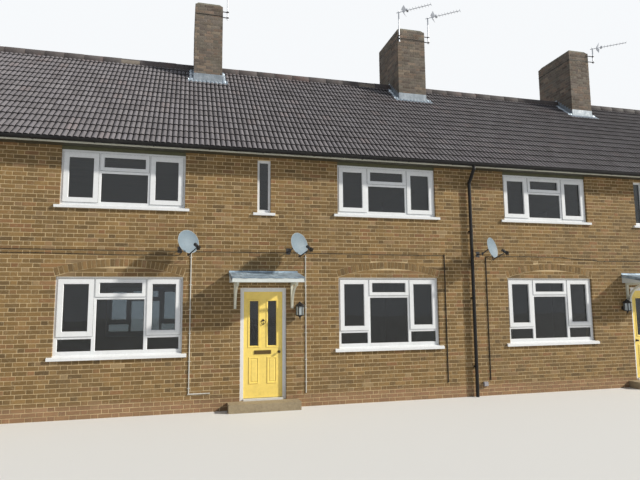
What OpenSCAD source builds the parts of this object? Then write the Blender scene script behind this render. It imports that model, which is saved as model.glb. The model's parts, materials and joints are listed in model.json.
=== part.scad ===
/* [Row] */
// Width of one house between party lines
house_w = 5440; // [5300:20:6000]
// Depth of the row between the outer faces of its walls
house_d = 6840; // [6400:20:7600]
// Thickness of the front and rear walls
wall_t = 280; // [240:5:330]
// Thickness of the party and end walls
party_t = 225; // [200:5:300]
// Height of one brick course with its joint
course = 76; // [75:0.5:78]
// Top of the walls above the ground, in courses
wall_courses = 63; // [62:1:66]

/* [Floors] */
// Top of the ground floor above the ground, in courses
floor_courses = 2; // [2:1:3]
// Underside of the first floor above the ground
first_floor_z = 2600; // [2560:10:2700]
// Depth of the first floor
first_floor_t = 250; // [200:10:300]
// Depth of the ceiling below the loft
ceiling_t = 110; // [80:10:150]

/* [Windows] */
// Width of a wide window opening
win_w = 2150; // [2000:10:2300]
// Width of a narrow window opening
narrow_w = 265; // [240:5:320]
// Middle of an inner house's windows from the middle of the row
inner_win_x = 1890; // [1700:10:2000]
// Middle of an outer house's windows from its inner party line
outer_win_off = 1560; // [1400:10:1700]
// Sill level of the ground floor windows, in courses
low_sill_courses = 13; // [12:1:14]
// Head level of the ground floor windows, in courses
low_head_courses = 32; // [31:1:32]
// Sill level of the wide upper windows, in courses
up_sill_courses = 48; // [47:1:50]
// Head level of the upper windows, in courses
up_head_courses = 62; // [61:1:62]
// Sill level of the narrow windows above the ground
narrow_sill_z = 3620; // [3540:10:3700]
// Set-back of the frames from the wall face
frame_back = 45; // [30:5:70]
// Depth of the frames through the wall
frame_d = 70; // [60:5:80]
// Visible width of the outer frame
frame_w = 55; // [45:5:65]
// Visible width of a narrow window's frame
narrow_frame_w = 40; // [35:1:50]
// Visible width of mullions and transoms
mullion_w = 50; // [45:5:60]
// Width of the middle light
middle_light_w = 820; // [760:10:900]
// Height of the top vent with its sash
vent_h = 290; // [260:10:320]
// Height of the small fixed light under a ground floor casement
foot_light_h = 225; // [200:5:260]
// Visible width of a casement sash
sash_w = 68; // [55:1:75]
// Visible width of a vent sash
vent_sash_w = 45; // [38:1:55]
// How far a sash stands proud of its frame
sash_proud = 14; // [8:1:20]
// Thickness of a sealed glass unit
glass_t = 24; // [20:2:28]

/* [Sills and arches] */
// Height of a ground floor sill at the frame
low_sill_h = 85; // [70:5:100]
// Height of an upper sill at the frame
up_sill_h = 70; // [60:5:85]
// Height of the sill's nose
sill_nose_h = 45; // [35:5:55]
// Reach of the sill in front of the wall
sill_reach = 42; // [30:2:60]
// Length of the sill's horn past each side of the opening
sill_horn = 80; // [50:5:100]
// Rise of the relieving arch over a ground floor window
arch_rise = 168; // [140:4:200]
// Depth of the arch ring, a header on edge
arch_ring = 140; // [110:5:150]
// How far the arch goes into the wall
arch_t = 105; // [100:5:120]
// Joint between a window's head and the arch's springing
arch_seat = 12; // [8:1:20]

/* [Doors] */
// Width of a doorway
door_w = 880; // [860:5:920]
// Head of a doorway above the ground
door_head_z = 2230; // [2200:5:2260]
// Middle of a doorway from the party line beside it
door_off = 996; // [960:4:1100]
// Visible width of a door frame
door_frame_w = 60; // [55:1:70]
// Width of the stop that the leaf closes against
door_stop_w = 12; // [10:1:14]
// Depth of the stop
door_stop_d = 15; // [12:1:18]
// Height of the threshold
threshold_h = 35; // [30:1:45]
// Thickness of a door leaf
leaf_t = 44; // [40:1:48]
// Running gap round an opening leaf
leaf_gap = 8; // [7:0.5:9]
// Width of a glazed light in the leaf
lite_w = 174; // [150:2:180]
// Foot of the glazed lights above the ground
lite_z = 1140; // [1120:5:1160]
// Height of the glazed lights
lite_h = 850; // [800:5:870]
// Middle of a light from the middle of the leaf
lite_x = 172; // [165:1:180]
// Width of a lower panel
panel_w = 190; // [170:2:200]
// Foot of the lower panels above the ground
panel_z = 448; // [430:2:470]
// Height of the lower panels
panel_h = 490; // [460:5:500]
// Width of the raised moulding round lights and panels
mould_w = 26; // [18:1:30]
// Height of the moulding above the leaf, and width of its chamfer
mould_t = 6; // [4:1:9]

/* [Steps and canopies] */
// Width of a door step
step_w = 1320; // [1200:10:1400]
// Reach of a door step in front of the wall
step_reach = 300; // [250:10:360]
// Height of a door step
step_h = 150; // [130:2:152]
// Width of a canopy
canopy_w = 1300; // [1200:10:1400]
// Reach of a canopy in front of the wall
canopy_reach = 650; // [550:10:700]
// Underside of the canopy's front board above the ground
canopy_z = 2315; // [2290:5:2340]
// Height of the canopy's front board
canopy_board_h = 85; // [75:5:100]
// Rise of the canopy's top from front to wall
canopy_rise = 120; // [80:5:150]
// Thickness of lead sheet
lead_t = 5; // [3:0.5:8]
// Height of a gallows bracket
bracket_h = 490; // [430:10:520]
// Reach of a gallows bracket
bracket_reach = 500; // [450:10:540]
// Thickness of the bracket's timbers
bracket_t = 45; // [38:1:50]
// Middle of a bracket from the middle of the doorway
bracket_x = 540; // [520:5:560]

/* [Roof] */
// Level of the tiles' lower edge above the top of the walls
eaves_up = 77; // [72:1:112]
// Reach of the tiles in front of the wall
eaves_over = 300; // [280:5:330]
// Pitch of the roof in degrees
pitch = 40; // [36:0.5:42]
// Number of tile courses on each slope
tile_courses = 16; // [12:1:18]
// Height of a tile's roll above its pan
tile_roll = 24; // [20:1:30]
// Thickness of a tile at its lower edge
tile_t = 20; // [15:1:25]
// Depth of the roof from the tiles' rolls to the rafters' underside
roof_t = 165; // [150:5:220]
// Radius of a ridge tile
ridge_r = 135; // [120:5:150]
// How far the ridge tile's crown stands above the apex
ridge_up = 45; // [35:1:55]
// Reach of the fascia's outer face in front of the wall
fascia_out = 220; // [200:5:230]
// Thickness of the fascia board
fascia_t = 20; // [16:1:25]
// Thickness of the soffit board
soffit_t = 12; // [9:1:15]
// Underside of the eaves boards below the top of the walls
soffit_drop = 20; // [16:1:28]

/* [Rainwater goods] */
// Outer radius of the half-round gutter
gutter_r = 56; // [50:1:60]
// Wall thickness of the gutter
gutter_t = 3; // [2:0.5:4]
// Level of the gutter's rim below the tiles' lower edge
gutter_drop = 30; // [25:1:35]
// Length of the gutter past each end of the row
gutter_past = 40; // [20:5:60]
// Spacing of the gutter brackets
bracket_pitch = 1000; // [800:10:1200]
// Outer radius of the downpipe
pipe_r = 34; // [30:1:38]
// Gap between the downpipe and the wall
pipe_gap = 30; // [20:1:40]
// Place of the downpipe along the row
pipe_x = -40; // [-100:5:0]

/* [Chimneys] */
// Depth of a stack
stack_d = 1400; // [1200:10:1500]
// Width of an outer stack
outer_stack_w = 670; // [600:5:800]
// Width of the middle stack
middle_stack_w = 790; // [700:5:900]
// Top of the stacks' brickwork above the ground
stack_top_z = 9350; // [9000:10:9600]
// Height of the mortar cap
cap_h = 75; // [30:5:90]
// How far the cap slopes in
cap_in = 60; // [50:5:120]
// Height of the lead upstand round a stack
upstand_h = 150; // [120:5:200]
// Length of the lead apron down the slope
apron_l = 170; // [140:5:220]
// Width of the lead apron past each side of a stack
apron_side = 140; // [100:5:180]

/* [Dishes and aerials] */
// Radius of a dish
dish_r = 215; // [200:5:240]
// Radius of the sphere that a dish is cut from
dish_curve = 620; // [560:10:800]
// Thickness of a dish
dish_t = 4; // [3:0.5:6]
// Level of the dishes' middles
dish_z = 3040; // [2980:10:3100]
// Reach of the dishes' middles in front of the wall
dish_out = 300; // [280:5:340]
// Angle of the dishes to the wall's normal in degrees
dish_turn = 33; // [25:1:40]
// Tilt of the dishes above level in degrees
dish_tilt = 12; // [5:1:25]
// Radius of a lead's conduit
lead_r = 10; // [6:0.5:14]
// Radius of an aerial mast
mast_r = 16; // [12:1:20]

/* [Hidden] */
$fn = 64;
eps = 1;
half_d = house_d / 2;
row_half = 2 * house_w + party_t / 2;
floor_z = floor_courses * course;
wall_z = wall_courses * course;
low_sill_z = low_sill_courses * course;
low_head_z = low_head_courses * course;
up_sill_z = up_sill_courses * course;
up_head_z = up_head_courses * course;
eaves_z = wall_z + eaves_up;
soffit_z = wall_z - soffit_drop;
gutter_z = eaves_z - gutter_drop;
inner_y = half_d - wall_t;
inner_door_x = house_w - door_off;
outer_win_x = house_w + outer_win_off;
outer_door_x = 2 * house_w - door_off;
sides = [-1, 1];
win_xs = [-outer_win_x, -inner_win_x, inner_win_x, outer_win_x];
door_xs = [-outer_door_x, -inner_door_x, inner_door_x, outer_door_x];
fixed_door_xs = [-outer_door_x, outer_door_x];
stack_xs = [-house_w, 0, house_w];
function stack_w(x) = x == 0 ? middle_stack_w : outer_stack_w;

brick = "peru";
white = "whitesmoke";
lead = "lightslategray";
black = "dimgray";
yellow = "gold";

// Helpers shared by several pieces

module block(x0, x1, y0, y1, z0, z1) {
    translate([x0, y0, z0]) cube([x1 - x0, y1 - y0, z1 - z0]);
}

// A profile drawn as [y, z] and carried along X from x0 to x1
module run_x(x0, x1, pts) {
    translate([x0, 0, 0]) rotate([90, 0, 90]) linear_extrude(x1 - x0) polygon(pts);
}

// A profile drawn as [x, z] and carried along Y from y0 to y1
module run_y(y0, y1) {
    translate([0, y1, 0]) rotate([90, 0, 0]) linear_extrude(y1 - y0) children();
}

// Places a piece that is drawn with the wall face at y = 0 and outdoors towards -y
module at_front(x, z = 0) {
    translate([x, -half_d, z]) children();
}

module at_rear(x, z = 0) {
    mirror([0, 1, 0]) translate([x, -half_d, z]) children();
}

module both_walls(xs) {
    for (x = xs) {
        at_front(x) children();
        at_rear(x) children();
    }
}

// Roof geometry

apex_z = eaves_z + (half_d + eaves_over) * tan(pitch);
slope_l = (half_d + eaves_over) / cos(pitch);
gauge = slope_l / tile_courses;
bed_gap = 6;
tile_bed = tile_roll + tile_t + bed_gap;
rest_gap = 0.3;
// Level of the roof at distance y from the ridge line, at a depth square to the slope
function roof_z(y, depth = 0) = apex_z - abs(y) * tan(pitch) - depth / cos(pitch);
// Level of what carries the rafters, just clear of their underside
function rest_z(y) = roof_z(y, roof_t + rest_gap);
// A point of the front slope, s up from the lower edge and depth below the rolls
function slope_pt(s, depth) = [
    -(half_d + eaves_over) + s * cos(pitch) + depth * sin(pitch),
    eaves_z + s * sin(pitch) - depth * cos(pitch)];
fascia_back = half_d + fascia_out - fascia_t;
soffit_top = soffit_z + soffit_t;
// Where the rafters' underside meets the soffit
rafter_foot = (roof_z(0, roof_t) - soffit_top) / tan(pitch);
rest_foot = (rest_z(0) - soffit_top) / tan(pitch);
roof_profile = concat(
    [for (i = [0 : tile_courses - 1])
        each [slope_pt(i * gauge, tile_roll + tile_t), slope_pt(i * gauge, tile_roll)]],
    [[0, roof_z(0, tile_roll)], [0, roof_z(0, roof_t)],
     [-rafter_foot, soffit_top], [-fascia_back, soffit_top],
     [-fascia_back, roof_z(fascia_back, tile_bed)], slope_pt(0, tile_bed)]);

module stack_plan(grow) {
    for (x = stack_xs)
        translate([x, 0]) square([stack_w(x) + 2 * grow, stack_d + 2 * grow], center = true);
}

module roof_slope() {
    difference() {
        run_x(-row_half, row_half, roof_profile);
        linear_extrude(stack_top_z) stack_plan(0);
    }
}

module roof_front() {
    color("dimgray") roof_slope();
}

module roof_rear() {
    color("dimgray") mirror([0, 1, 0]) roof_slope();
}

module ridge_tiles() {
    bed = tile_roll - rest_gap;
    color("darkslategray") difference() {
        translate([-row_half, 0, apex_z + ridge_up - ridge_r]) rotate([0, 90, 0])
            cylinder(r = ridge_r, h = 2 * row_half, $fn = 96);
        run_x(-row_half - eps, row_half + eps, [
            [-half_d, roof_z(half_d, bed)], [0, roof_z(0, bed)],
            [half_d, roof_z(half_d, bed)], [half_d, 0], [-half_d, 0]]);
        linear_extrude(stack_top_z) stack_plan(lead_t);
    }
}

module wall_plate() {
    run_x(-row_half, row_half, [
        [-half_d, wall_z], [-inner_y, wall_z],
        [-inner_y, rest_z(inner_y)], [-half_d, rest_z(half_d)]]);
}

module wall_plates() {
    color("burlywood") {
        wall_plate();
        mirror([0, 1, 0]) wall_plate();
    }
}

// Walls

function arch_radius() = (pow(win_w / 2, 2) + pow(arch_rise, 2)) / (2 * arch_rise);

// Ring of the relieving arch with radial ends, at the wall face, window middle at x = 0
module arch_ring_shape() {
    centre_z = low_head_z + arch_seat + arch_rise - arch_radius();
    far = 2 * arch_radius();
    half_angle = asin(win_w / 2 / arch_radius());
    intersection() {
        translate([0, 0, centre_z]) run_y(0, arch_t) difference() {
            circle(r = arch_radius() + arch_ring, $fn = 256);
            circle(r = arch_radius(), $fn = 256);
        }
        translate([0, 0, centre_z]) run_y(-eps, arch_t + eps) polygon([
            [0, 0], [far * sin(half_angle), far * cos(half_angle)],
            [-far * sin(half_angle), far * cos(half_angle)]]);
    }
}

module window_arches() {
    color("sienna") both_walls(win_xs) arch_ring_shape();
}

module wide_openings() {
    block(-win_w / 2, win_w / 2, -eps, wall_t + eps, low_sill_z, low_head_z);
    block(-win_w / 2, win_w / 2, -eps, wall_t + eps, up_sill_z, wall_z + eps);
    arch_ring_shape();
}

module narrow_opening() {
    block(-narrow_w / 2, narrow_w / 2, -eps, wall_t + eps, narrow_sill_z, up_head_z);
}

module doorway() {
    block(-door_w / 2, door_w / 2, -eps, wall_t + eps, floor_z, door_head_z);
}

// The front wall from x0 to x1 with the openings of the windows and doorways given
module front_wall(x0, x1, wins, doors) {
    difference() {
        block(x0, x1, -half_d, -inner_y, 0, wall_z);
        for (x = wins) at_front(x) wide_openings();
        for (x = doors) at_front(x) {
            narrow_opening();
            doorway();
        }
    }
}

module front_wall_left() {
    color(brick) front_wall(-row_half, -inner_door_x - door_w / 2, [-outer_win_x], [-outer_door_x]);
}

module front_wall_middle() {
    color(brick) front_wall(-inner_door_x + door_w / 2, inner_door_x - door_w / 2,
        [-inner_win_x, inner_win_x], []);
}

module front_wall_right() {
    color(brick) front_wall(inner_door_x + door_w / 2, row_half, [outer_win_x], [outer_door_x]);
}

module front_wall_at_doors() {
    color(brick) for (s = sides) {
        x = s * inner_door_x;
        block(x - door_w / 2, x + door_w / 2, -half_d, -inner_y, 0, floor_z);
        difference() {
            block(x - door_w / 2, x + door_w / 2, -half_d, -inner_y, door_head_z, wall_z);
            at_front(x) narrow_opening();
        }
    }
}

module rear_wall() {
    color(brick) difference() {
        block(-row_half, row_half, inner_y, half_d, 0, wall_z);
        for (x = win_xs) at_rear(x) wide_openings();
        for (x = door_xs) at_rear(x) {
            narrow_opening();
            doorway();
        }
    }
}

// Cross wall between the front and rear walls, up to the rafters
module cross_wall(x, t) {
    run_x(x - t / 2, x + t / 2, [
        [-inner_y, 0], [inner_y, 0], [inner_y, rest_z(inner_y)],
        [0, rest_z(0)], [-inner_y, rest_z(inner_y)]]);
}

module party_walls() {
    color("rosybrown") difference() {
        for (x = stack_xs) cross_wall(x, party_t);
        linear_extrude(stack_top_z) stack_plan(0);
    }
}

module end_walls() {
    color(brick) for (s = sides) cross_wall(s * 2 * house_w, party_t);
}

// Floor of each house from z0 to z1, cut round the stacks
module storey_floor(z0, z1) {
    difference() {
        for (i = [0 : 3]) {
            left = (i - 2) * house_w;
            block(left + party_t / 2, left + house_w - party_t / 2, -inner_y, inner_y, z0, z1);
        }
        linear_extrude(stack_top_z) stack_plan(0);
    }
}

module ground_floors() {
    color("gray") storey_floor(0, floor_z);
}

module upper_floors() {
    color("burlywood") {
        storey_floor(first_floor_z, first_floor_z + first_floor_t);
        storey_floor(wall_z, wall_z + ceiling_t);
    }
}

// Chimneys

module chimneys() {
    color("tan") linear_extrude(stack_top_z) stack_plan(0);
}

// Mortar cap that slopes in on all four sides
module chimney_caps() {
    inset = 10;
    color("darkgray") for (x = stack_xs) {
        half_w = stack_w(x) / 2 - inset;
        half_l = stack_d / 2 - inset;
        intersection() {
            run_x(x - half_w, x + half_w, [
                [-half_l, stack_top_z], [half_l, stack_top_z],
                [half_l - cap_in, stack_top_z + cap_h], [-half_l + cap_in, stack_top_z + cap_h]]);
            translate([x, 0, 0]) run_y(-half_l, half_l) polygon([
                [-half_w, stack_top_z], [half_w, stack_top_z],
                [half_w - cap_in, stack_top_z + cap_h], [-half_w + cap_in, stack_top_z + cap_h]]);
        }
    }
}

// Band of the given height above the tiles' rolls, all along the row
module over_roof(from_depth, height) {
    run_x(-row_half, row_half, [
        [-half_d, roof_z(half_d, from_depth)], [0, roof_z(0, from_depth)],
        [half_d, roof_z(half_d, from_depth)], [half_d, roof_z(half_d) + height],
        [0, roof_z(0) + height], [-half_d, roof_z(half_d) + height]]);
}

module lead_flashings() {
    color(lead) {
        intersection() {
            linear_extrude(stack_top_z) difference() {
                stack_plan(lead_t);
                stack_plan(0);
            }
            over_roof(tile_roll - rest_gap, upstand_h);
        }
        for (x = stack_xs, s = sides) {
            near = stack_d / 2 + lead_t;
            far = near + apron_l * cos(pitch);
            half_w = stack_w(x) / 2 + apron_side;
            run_x(x - half_w, x + half_w, [
                [s * near, roof_z(near)], [s * far, roof_z(far)],
                [s * far, roof_z(far) + lead_t / cos(pitch)],
                [s * near, roof_z(near) + lead_t / cos(pitch)]]);
        }
    }
}

// Eaves

module fascia() {
    y = half_d + fascia_out;
    block(-row_half, row_half, -y, -y + fascia_t, soffit_z, roof_z(y, tile_bed));
}

module fascias() {
    color(white) {
        fascia();
        mirror([0, 1, 0]) fascia();
    }
}

module soffit() {
    block(-row_half, row_half, -fascia_back, -half_d, soffit_z, soffit_top);
    for (s = sides) {
        x0 = s < 0 ? -row_half : row_half - fascia_t;
        run_x(x0, x0 + fascia_t, [
            [-rest_foot, soffit_top], [-half_d, soffit_top], [-half_d, rest_z(half_d)]]);
    }
}

module soffits() {
    color(white) {
        soffit();
        mirror([0, 1, 0]) soffit();
    }
}

bracket_band = 2;
gutter_y = half_d + fascia_out + gutter_r + bracket_band;
gutter_half = row_half + gutter_past;

module half_ring(r_out, r_in) {
    difference() {
        circle(r = r_out);
        circle(r = r_in);
        translate([-2 * r_out, 0]) square([4 * r_out, 2 * r_out]);
    }
}

module half_disc(r) {
    difference() {
        circle(r = r);
        translate([-2 * r, 0]) square([4 * r, 2 * r]);
    }
}

// Trough with stop ends, carried by brackets screwed to the fascia
module gutter() {
    bracket_count = 2 * floor(row_half / bracket_pitch);
    bracket_len = 25;
    plate_h = 50;
    plate_lap = 1;
    translate([0, -gutter_y, gutter_z]) {
        translate([-gutter_half, 0, 0]) rotate([90, 0, 90])
            linear_extrude(2 * gutter_half) half_ring(gutter_r, gutter_r - gutter_t);
        for (s = sides) translate([s < 0 ? -gutter_half : gutter_half - gutter_t, 0, 0])
            rotate([90, 0, 90]) linear_extrude(gutter_t) half_disc(gutter_r);
        for (i = [0 : bracket_count - 1]) {
            x = (i - (bracket_count - 1) / 2) * bracket_pitch;
            translate([x - bracket_len / 2, 0, 0]) rotate([90, 0, 90]) linear_extrude(bracket_len)
                half_ring(gutter_r + bracket_band, gutter_r - gutter_t / 2);
            block(x - bracket_len / 2, x + bracket_len / 2, gutter_r - plate_lap, gutter_r + bracket_band,
                -plate_h, 0);
        }
    }
}

module gutters() {
    color(black) {
        gutter();
        mirror([0, 1, 0]) gutter();
    }
}

// Downpipe: outlet, swan neck back to the wall, then straight down
module downpipe() {
    wall_y = -half_d - pipe_gap - pipe_r;
    top_z = gutter_z - gutter_r;
    spigot_l = 60;
    neck_drop = 260;
    neck_top = top_z - spigot_l;
    neck_foot = neck_top - neck_drop;
    collar_grow = 3;
    run = -gutter_y - wall_y;
    neck_l = norm([run, neck_top - neck_foot]);
    neck_angle = atan2(-run, neck_top - neck_foot);
    socket_grow = 5;
    outlet_h = 12;
    clip_z = [600, 2000, 3400];
    clip_h = 30;
    clip_grow = 4;
    translate([pipe_x, 0, 0]) {
        translate([0, -gutter_y, neck_top]) cylinder(r = pipe_r, h = top_z - neck_top);
        translate([0, -gutter_y, top_z - outlet_h]) cylinder(r = pipe_r + collar_grow, h = outlet_h);
        translate([0, -gutter_y, neck_top]) sphere(r = pipe_r + socket_grow);
        translate([0, wall_y, neck_foot]) rotate([neck_angle, 0, 0]) cylinder(r = pipe_r, h = neck_l);
        translate([0, wall_y, neck_foot]) sphere(r = pipe_r + socket_grow);
        translate([0, wall_y, 0]) cylinder(r = pipe_r, h = neck_foot);
        for (z = clip_z) {
            translate([0, wall_y, z]) cylinder(r = pipe_r + clip_grow, h = clip_h);
            block(-pipe_r, pipe_r, wall_y, -half_d, z, z + clip_h);
        }
    }
}

module downpipes() {
    color(black) {
        downpipe();
        mirror([0, 1, 0]) downpipe();
    }
}

// Windows, drawn with the wall face at y = 0 and the opening's middle at x = 0

side_light_w = (win_w - 2 * frame_w - 2 * mullion_w - middle_light_w) / 2;
side_light_x = middle_light_w / 2 + mullion_w + side_light_w / 2;
low_frame_z = low_sill_z + low_sill_h;
up_frame_z = up_sill_z + up_sill_h;
narrow_frame_z = narrow_sill_z + up_sill_h;

// One light as [middle x, foot z, width, height, sash width], with no sash where that is 0
function wide_lights(foot, head, side_foot) = concat(
    [for (s = sides) [s * side_light_x, foot + frame_w + side_foot, side_light_w,
        head - foot - 2 * frame_w - side_foot, sash_w]],
    side_foot > 0 ? [for (s = sides) [s * side_light_x, foot + frame_w, side_light_w,
        side_foot - mullion_w, 0]] : [],
    [[0, head - frame_w - vent_h, middle_light_w, vent_h, vent_sash_w],
     [0, foot + frame_w, middle_light_w, head - foot - 2 * frame_w - vent_h - mullion_w, 0]]);
low_lights = wide_lights(low_frame_z, low_head_z, foot_light_h + mullion_w);
up_lights = wide_lights(up_frame_z, up_head_z, 0);
narrow_lights = [[0, narrow_frame_z + narrow_frame_w, narrow_w - 2 * narrow_frame_w,
    up_head_z - narrow_frame_z - 2 * narrow_frame_w, 0]];

module light_hole(l, inset, y0, y1) {
    block(l[0] - l[2] / 2 + inset, l[0] + l[2] / 2 - inset, y0, y1, l[1] + inset, l[1] + l[3] - inset);
}

module window_frame(w, foot, head, lights) {
    difference() {
        block(-w / 2, w / 2, frame_back, frame_back + frame_d, foot, head);
        for (l = lights) light_hole(l, 0, frame_back - eps, frame_back + frame_d + eps);
    }
}

module window_frames() {
    color(white) {
        both_walls(win_xs) {
            window_frame(win_w, low_frame_z, low_head_z, low_lights);
            window_frame(win_w, up_frame_z, up_head_z, up_lights);
        }
        both_walls(door_xs) window_frame(narrow_w, narrow_frame_z, up_head_z, narrow_lights);
    }
}

// A sash fills its light and laps over the frame in front
module sash(l) {
    lap = 12;
    difference() {
        union() {
            light_hole(l, 0, frame_back, frame_back + frame_d);
            light_hole(l, -lap, frame_back - sash_proud, frame_back);
        }
        light_hole(l, l[4], frame_back - sash_proud - eps, frame_back + frame_d + eps);
    }
}

module window_sashes() {
    color(white) both_walls(win_xs) for (l = concat(low_lights, up_lights)) if (l[4] > 0) sash(l);
}

module pane(l) {
    y0 = frame_back + (frame_d - glass_t) / 2;
    light_hole(l, l[4], y0, y0 + glass_t);
}

module window_glass() {
    color("lightskyblue") {
        both_walls(win_xs) for (l = concat(low_lights, up_lights)) pane(l);
        both_walls(door_xs) for (l = narrow_lights) pane(l);
    }
}

// Sill with a sloped top, level under the frame, and horns past the opening
module sill(w, foot, h) {
    run_x(-w / 2, w / 2, [
        [0, foot], [frame_back + frame_d, foot], [frame_back + frame_d, foot + h],
        [frame_back, foot + h], [0, foot + sill_nose_h + (h - sill_nose_h) * sill_reach
            / (sill_reach + frame_back)]]);
    run_x(-w / 2 - sill_horn, w / 2 + sill_horn, [
        [-sill_reach, foot], [0, foot], [0, foot + sill_nose_h + (h - sill_nose_h) * sill_reach
            / (sill_reach + frame_back)], [-sill_reach, foot + sill_nose_h]]);
}

module window_sills() {
    color(white) {
        both_walls(win_xs) {
            sill(win_w, low_sill_z, low_sill_h);
            sill(win_w, up_sill_z, up_sill_h);
        }
        both_walls(door_xs) sill(narrow_w, narrow_sill_z, up_sill_h);
    }
}

module window_heads() {
    color("darkkhaki") both_walls(win_xs)
        block(-win_w / 2, win_w / 2, frame_back / 2, wall_t, up_head_z, wall_z);
}

// Doors, drawn with the wall face at y = 0 and the doorway's middle at x = 0

stop_clear = 5;
hinge_back = 16;
leaf_y = frame_back + door_stop_d + stop_clear;
leaf_half = door_w / 2 - door_frame_w;
leaf_foot = floor_z + threshold_h;
leaf_head = door_head_z - door_frame_w;
hinge_y = leaf_y + leaf_t + hinge_back;
hinge_r = 7;
pin_r = 4;
pin_clear = 0.08;
hinge_h = 45;
hinge_gap = 0.3;
flag_l = 42;
flag_clear = 2;
hinge_zs = [420, 1180, 1940];

module door_posts() {
    color(white) both_walls(door_xs) for (s = sides) mirror([s > 0 ? 1 : 0, 0, 0])
        translate([-door_w / 2, 0, floor_z]) linear_extrude(door_head_z - floor_z) polygon([
            [0, frame_back], [door_frame_w + door_stop_w, frame_back],
            [door_frame_w + door_stop_w, frame_back + door_stop_d],
            [door_frame_w, frame_back + door_stop_d], [door_frame_w, frame_back + frame_d],
            [0, frame_back + frame_d]]);
}

module door_heads() {
    color(white) both_walls(door_xs) {
        block(-leaf_half, leaf_half, frame_back + door_stop_d, frame_back + frame_d,
            door_head_z - door_frame_w, door_head_z);
        block(-leaf_half + door_stop_w, leaf_half - door_stop_w, frame_back,
            frame_back + door_stop_d, door_head_z - door_frame_w - door_stop_w, door_head_z);
    }
}

module door_thresholds() {
    color("silver") both_walls(door_xs) {
        block(-leaf_half, leaf_half, frame_back + door_stop_d, frame_back + frame_d,
            floor_z, floor_z + threshold_h);
        block(-leaf_half + door_stop_w, leaf_half - door_stop_w, 0, frame_back + door_stop_d,
            floor_z, floor_z + threshold_h);
    }
}

// Leaf with two glazed lights and two raised panels, smaller by gap all round
module leaf(gap) {
    difference() {
        union() {
            block(-leaf_half + gap, leaf_half - gap, leaf_y, leaf_y + leaf_t,
                leaf_foot + gap, leaf_head - gap);
            for (s = sides) {
                leaf_mould(s * lite_x, lite_w + 2 * mould_w, lite_z - mould_w, lite_h + 2 * mould_w);
                difference() {
                    leaf_mould(s * lite_x, panel_w, panel_z, panel_h);
                    block(s * lite_x - panel_w / 2 + mould_w, s * lite_x + panel_w / 2 - mould_w,
                        leaf_y - 2 * mould_t, leaf_y, panel_z + mould_w, panel_z + panel_h - mould_w);
                }
            }
        }
        for (s = sides) block(s * lite_x - lite_w / 2, s * lite_x + lite_w / 2,
            leaf_y - 2 * mould_t, leaf_y + leaf_t + eps, lite_z, lite_z + lite_h);
    }
}

// A flat raised piece on the leaf with its four edges chamfered, w wide and h high from level z
module leaf_mould(x, w, z, h) {
    translate([x, leaf_y, z + h / 2]) intersection() {
        linear_extrude(h, center = true) polygon([
            [-w / 2, 0], [-w / 2 + mould_t, -mould_t], [w / 2 - mould_t, -mould_t], [w / 2, 0]]);
        rotate([90, 0, 90]) linear_extrude(w, center = true) polygon([
            [0, -h / 2], [-mould_t, -h / 2 + mould_t], [-mould_t, h / 2 - mould_t], [0, h / 2]]);
    }
}

module leaf_glass() {
    set_in = 10;
    for (s = sides) block(s * lite_x - lite_w / 2, s * lite_x + lite_w / 2,
        leaf_y + set_in, leaf_y + leaf_t - set_in, lite_z, lite_z + lite_h);
}

// Letter plate, knocker and a lock with its knob; the lock is on the side away from the hinges.
// Round pieces are given as [radius, reach from the leaf]
module leaf_fittings(lock_side) {
    plate_z = 1026;
    plate_w = 300;
    plate_h = 62;
    plate_t = 9;
    lock_x = lock_side * (leaf_half - 75);
    knob = [22, 46];
    rose = [26, 8];
    spindle = [11, 38];
    knocker_z = 1620;
    boss = [20, 16];
    ring_r = 44;
    ring_t = 7;
    ring_bar = 8;
    ring_y = 11;
    striker = [14, 20];
    striker_drop = 75;
    block(-plate_w / 2, plate_w / 2, leaf_y - plate_t, leaf_y, plate_z - plate_h / 2, plate_z + plate_h / 2);
    translate([lock_x, leaf_y, plate_z]) rotate([90, 0, 0]) {
        cylinder(r = rose[0], h = rose[1]);
        cylinder(r = spindle[0], h = spindle[1]);
        translate([0, 0, knob[1]]) sphere(r = knob[0]);
    }
    translate([0, leaf_y, knocker_z]) rotate([90, 0, 0]) {
        cylinder(r = boss[0], h = boss[1]);
        translate([0, -striker_drop, 0]) cylinder(r = striker[0], h = striker[1]);
        translate([0, -striker_drop / 2, ring_y]) difference() {
            cylinder(r = ring_r, h = ring_t);
            translate([0, 0, -eps]) cylinder(r = ring_r - ring_bar, h = ring_t + 2 * eps);
        }
    }
}

// Hinge half on the leaf: a knuckle with a true bore, on a flag that reaches the leaf's inner face
module leaf_knuckles() {
    x = -leaf_half + leaf_gap / 2;
    web_l = 12;
    web_lap = 3;
    for (z = hinge_zs) difference() {
        union() {
            translate([x, hinge_y, z]) cylinder(r = hinge_r, h = hinge_h);
            block(x + leaf_gap / 2, x + flag_l, leaf_y + leaf_t, hinge_y - flag_clear, z, z + hinge_h);
            block(x + leaf_gap / 2, x + web_l, hinge_y - web_lap, hinge_y + hinge_r - eps, z, z + hinge_h);
        }
        translate([x, hinge_y, z - eps]) cylinder(r = pin_r + pin_clear, h = hinge_h + 2 * eps);
    }
}

// Hinge half on the frame: a knuckle with its pin, on a flag that reaches the post's inner face
module frame_knuckles() {
    x = -leaf_half + leaf_gap / 2;
    pin_short = 4;
    for (z = hinge_zs) {
        foot = z - hinge_gap - hinge_h;
        translate([x, hinge_y, foot]) cylinder(r = hinge_r, h = hinge_h);
        translate([x, hinge_y, foot]) cylinder(r = pin_r, h = 2 * hinge_h - pin_short);
        block(x - flag_l, x, frame_back + frame_d, hinge_y + flag_clear, foot, foot + hinge_h);
    }
}

module door_hinges() {
    color("silver") for (s = sides) at_front(s * inner_door_x) mirror([s > 0 ? 1 : 0, 0, 0])
        frame_knuckles();
}

module front_door_2() {
    color(yellow) at_front(-inner_door_x) leaf(leaf_gap);
}

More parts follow.
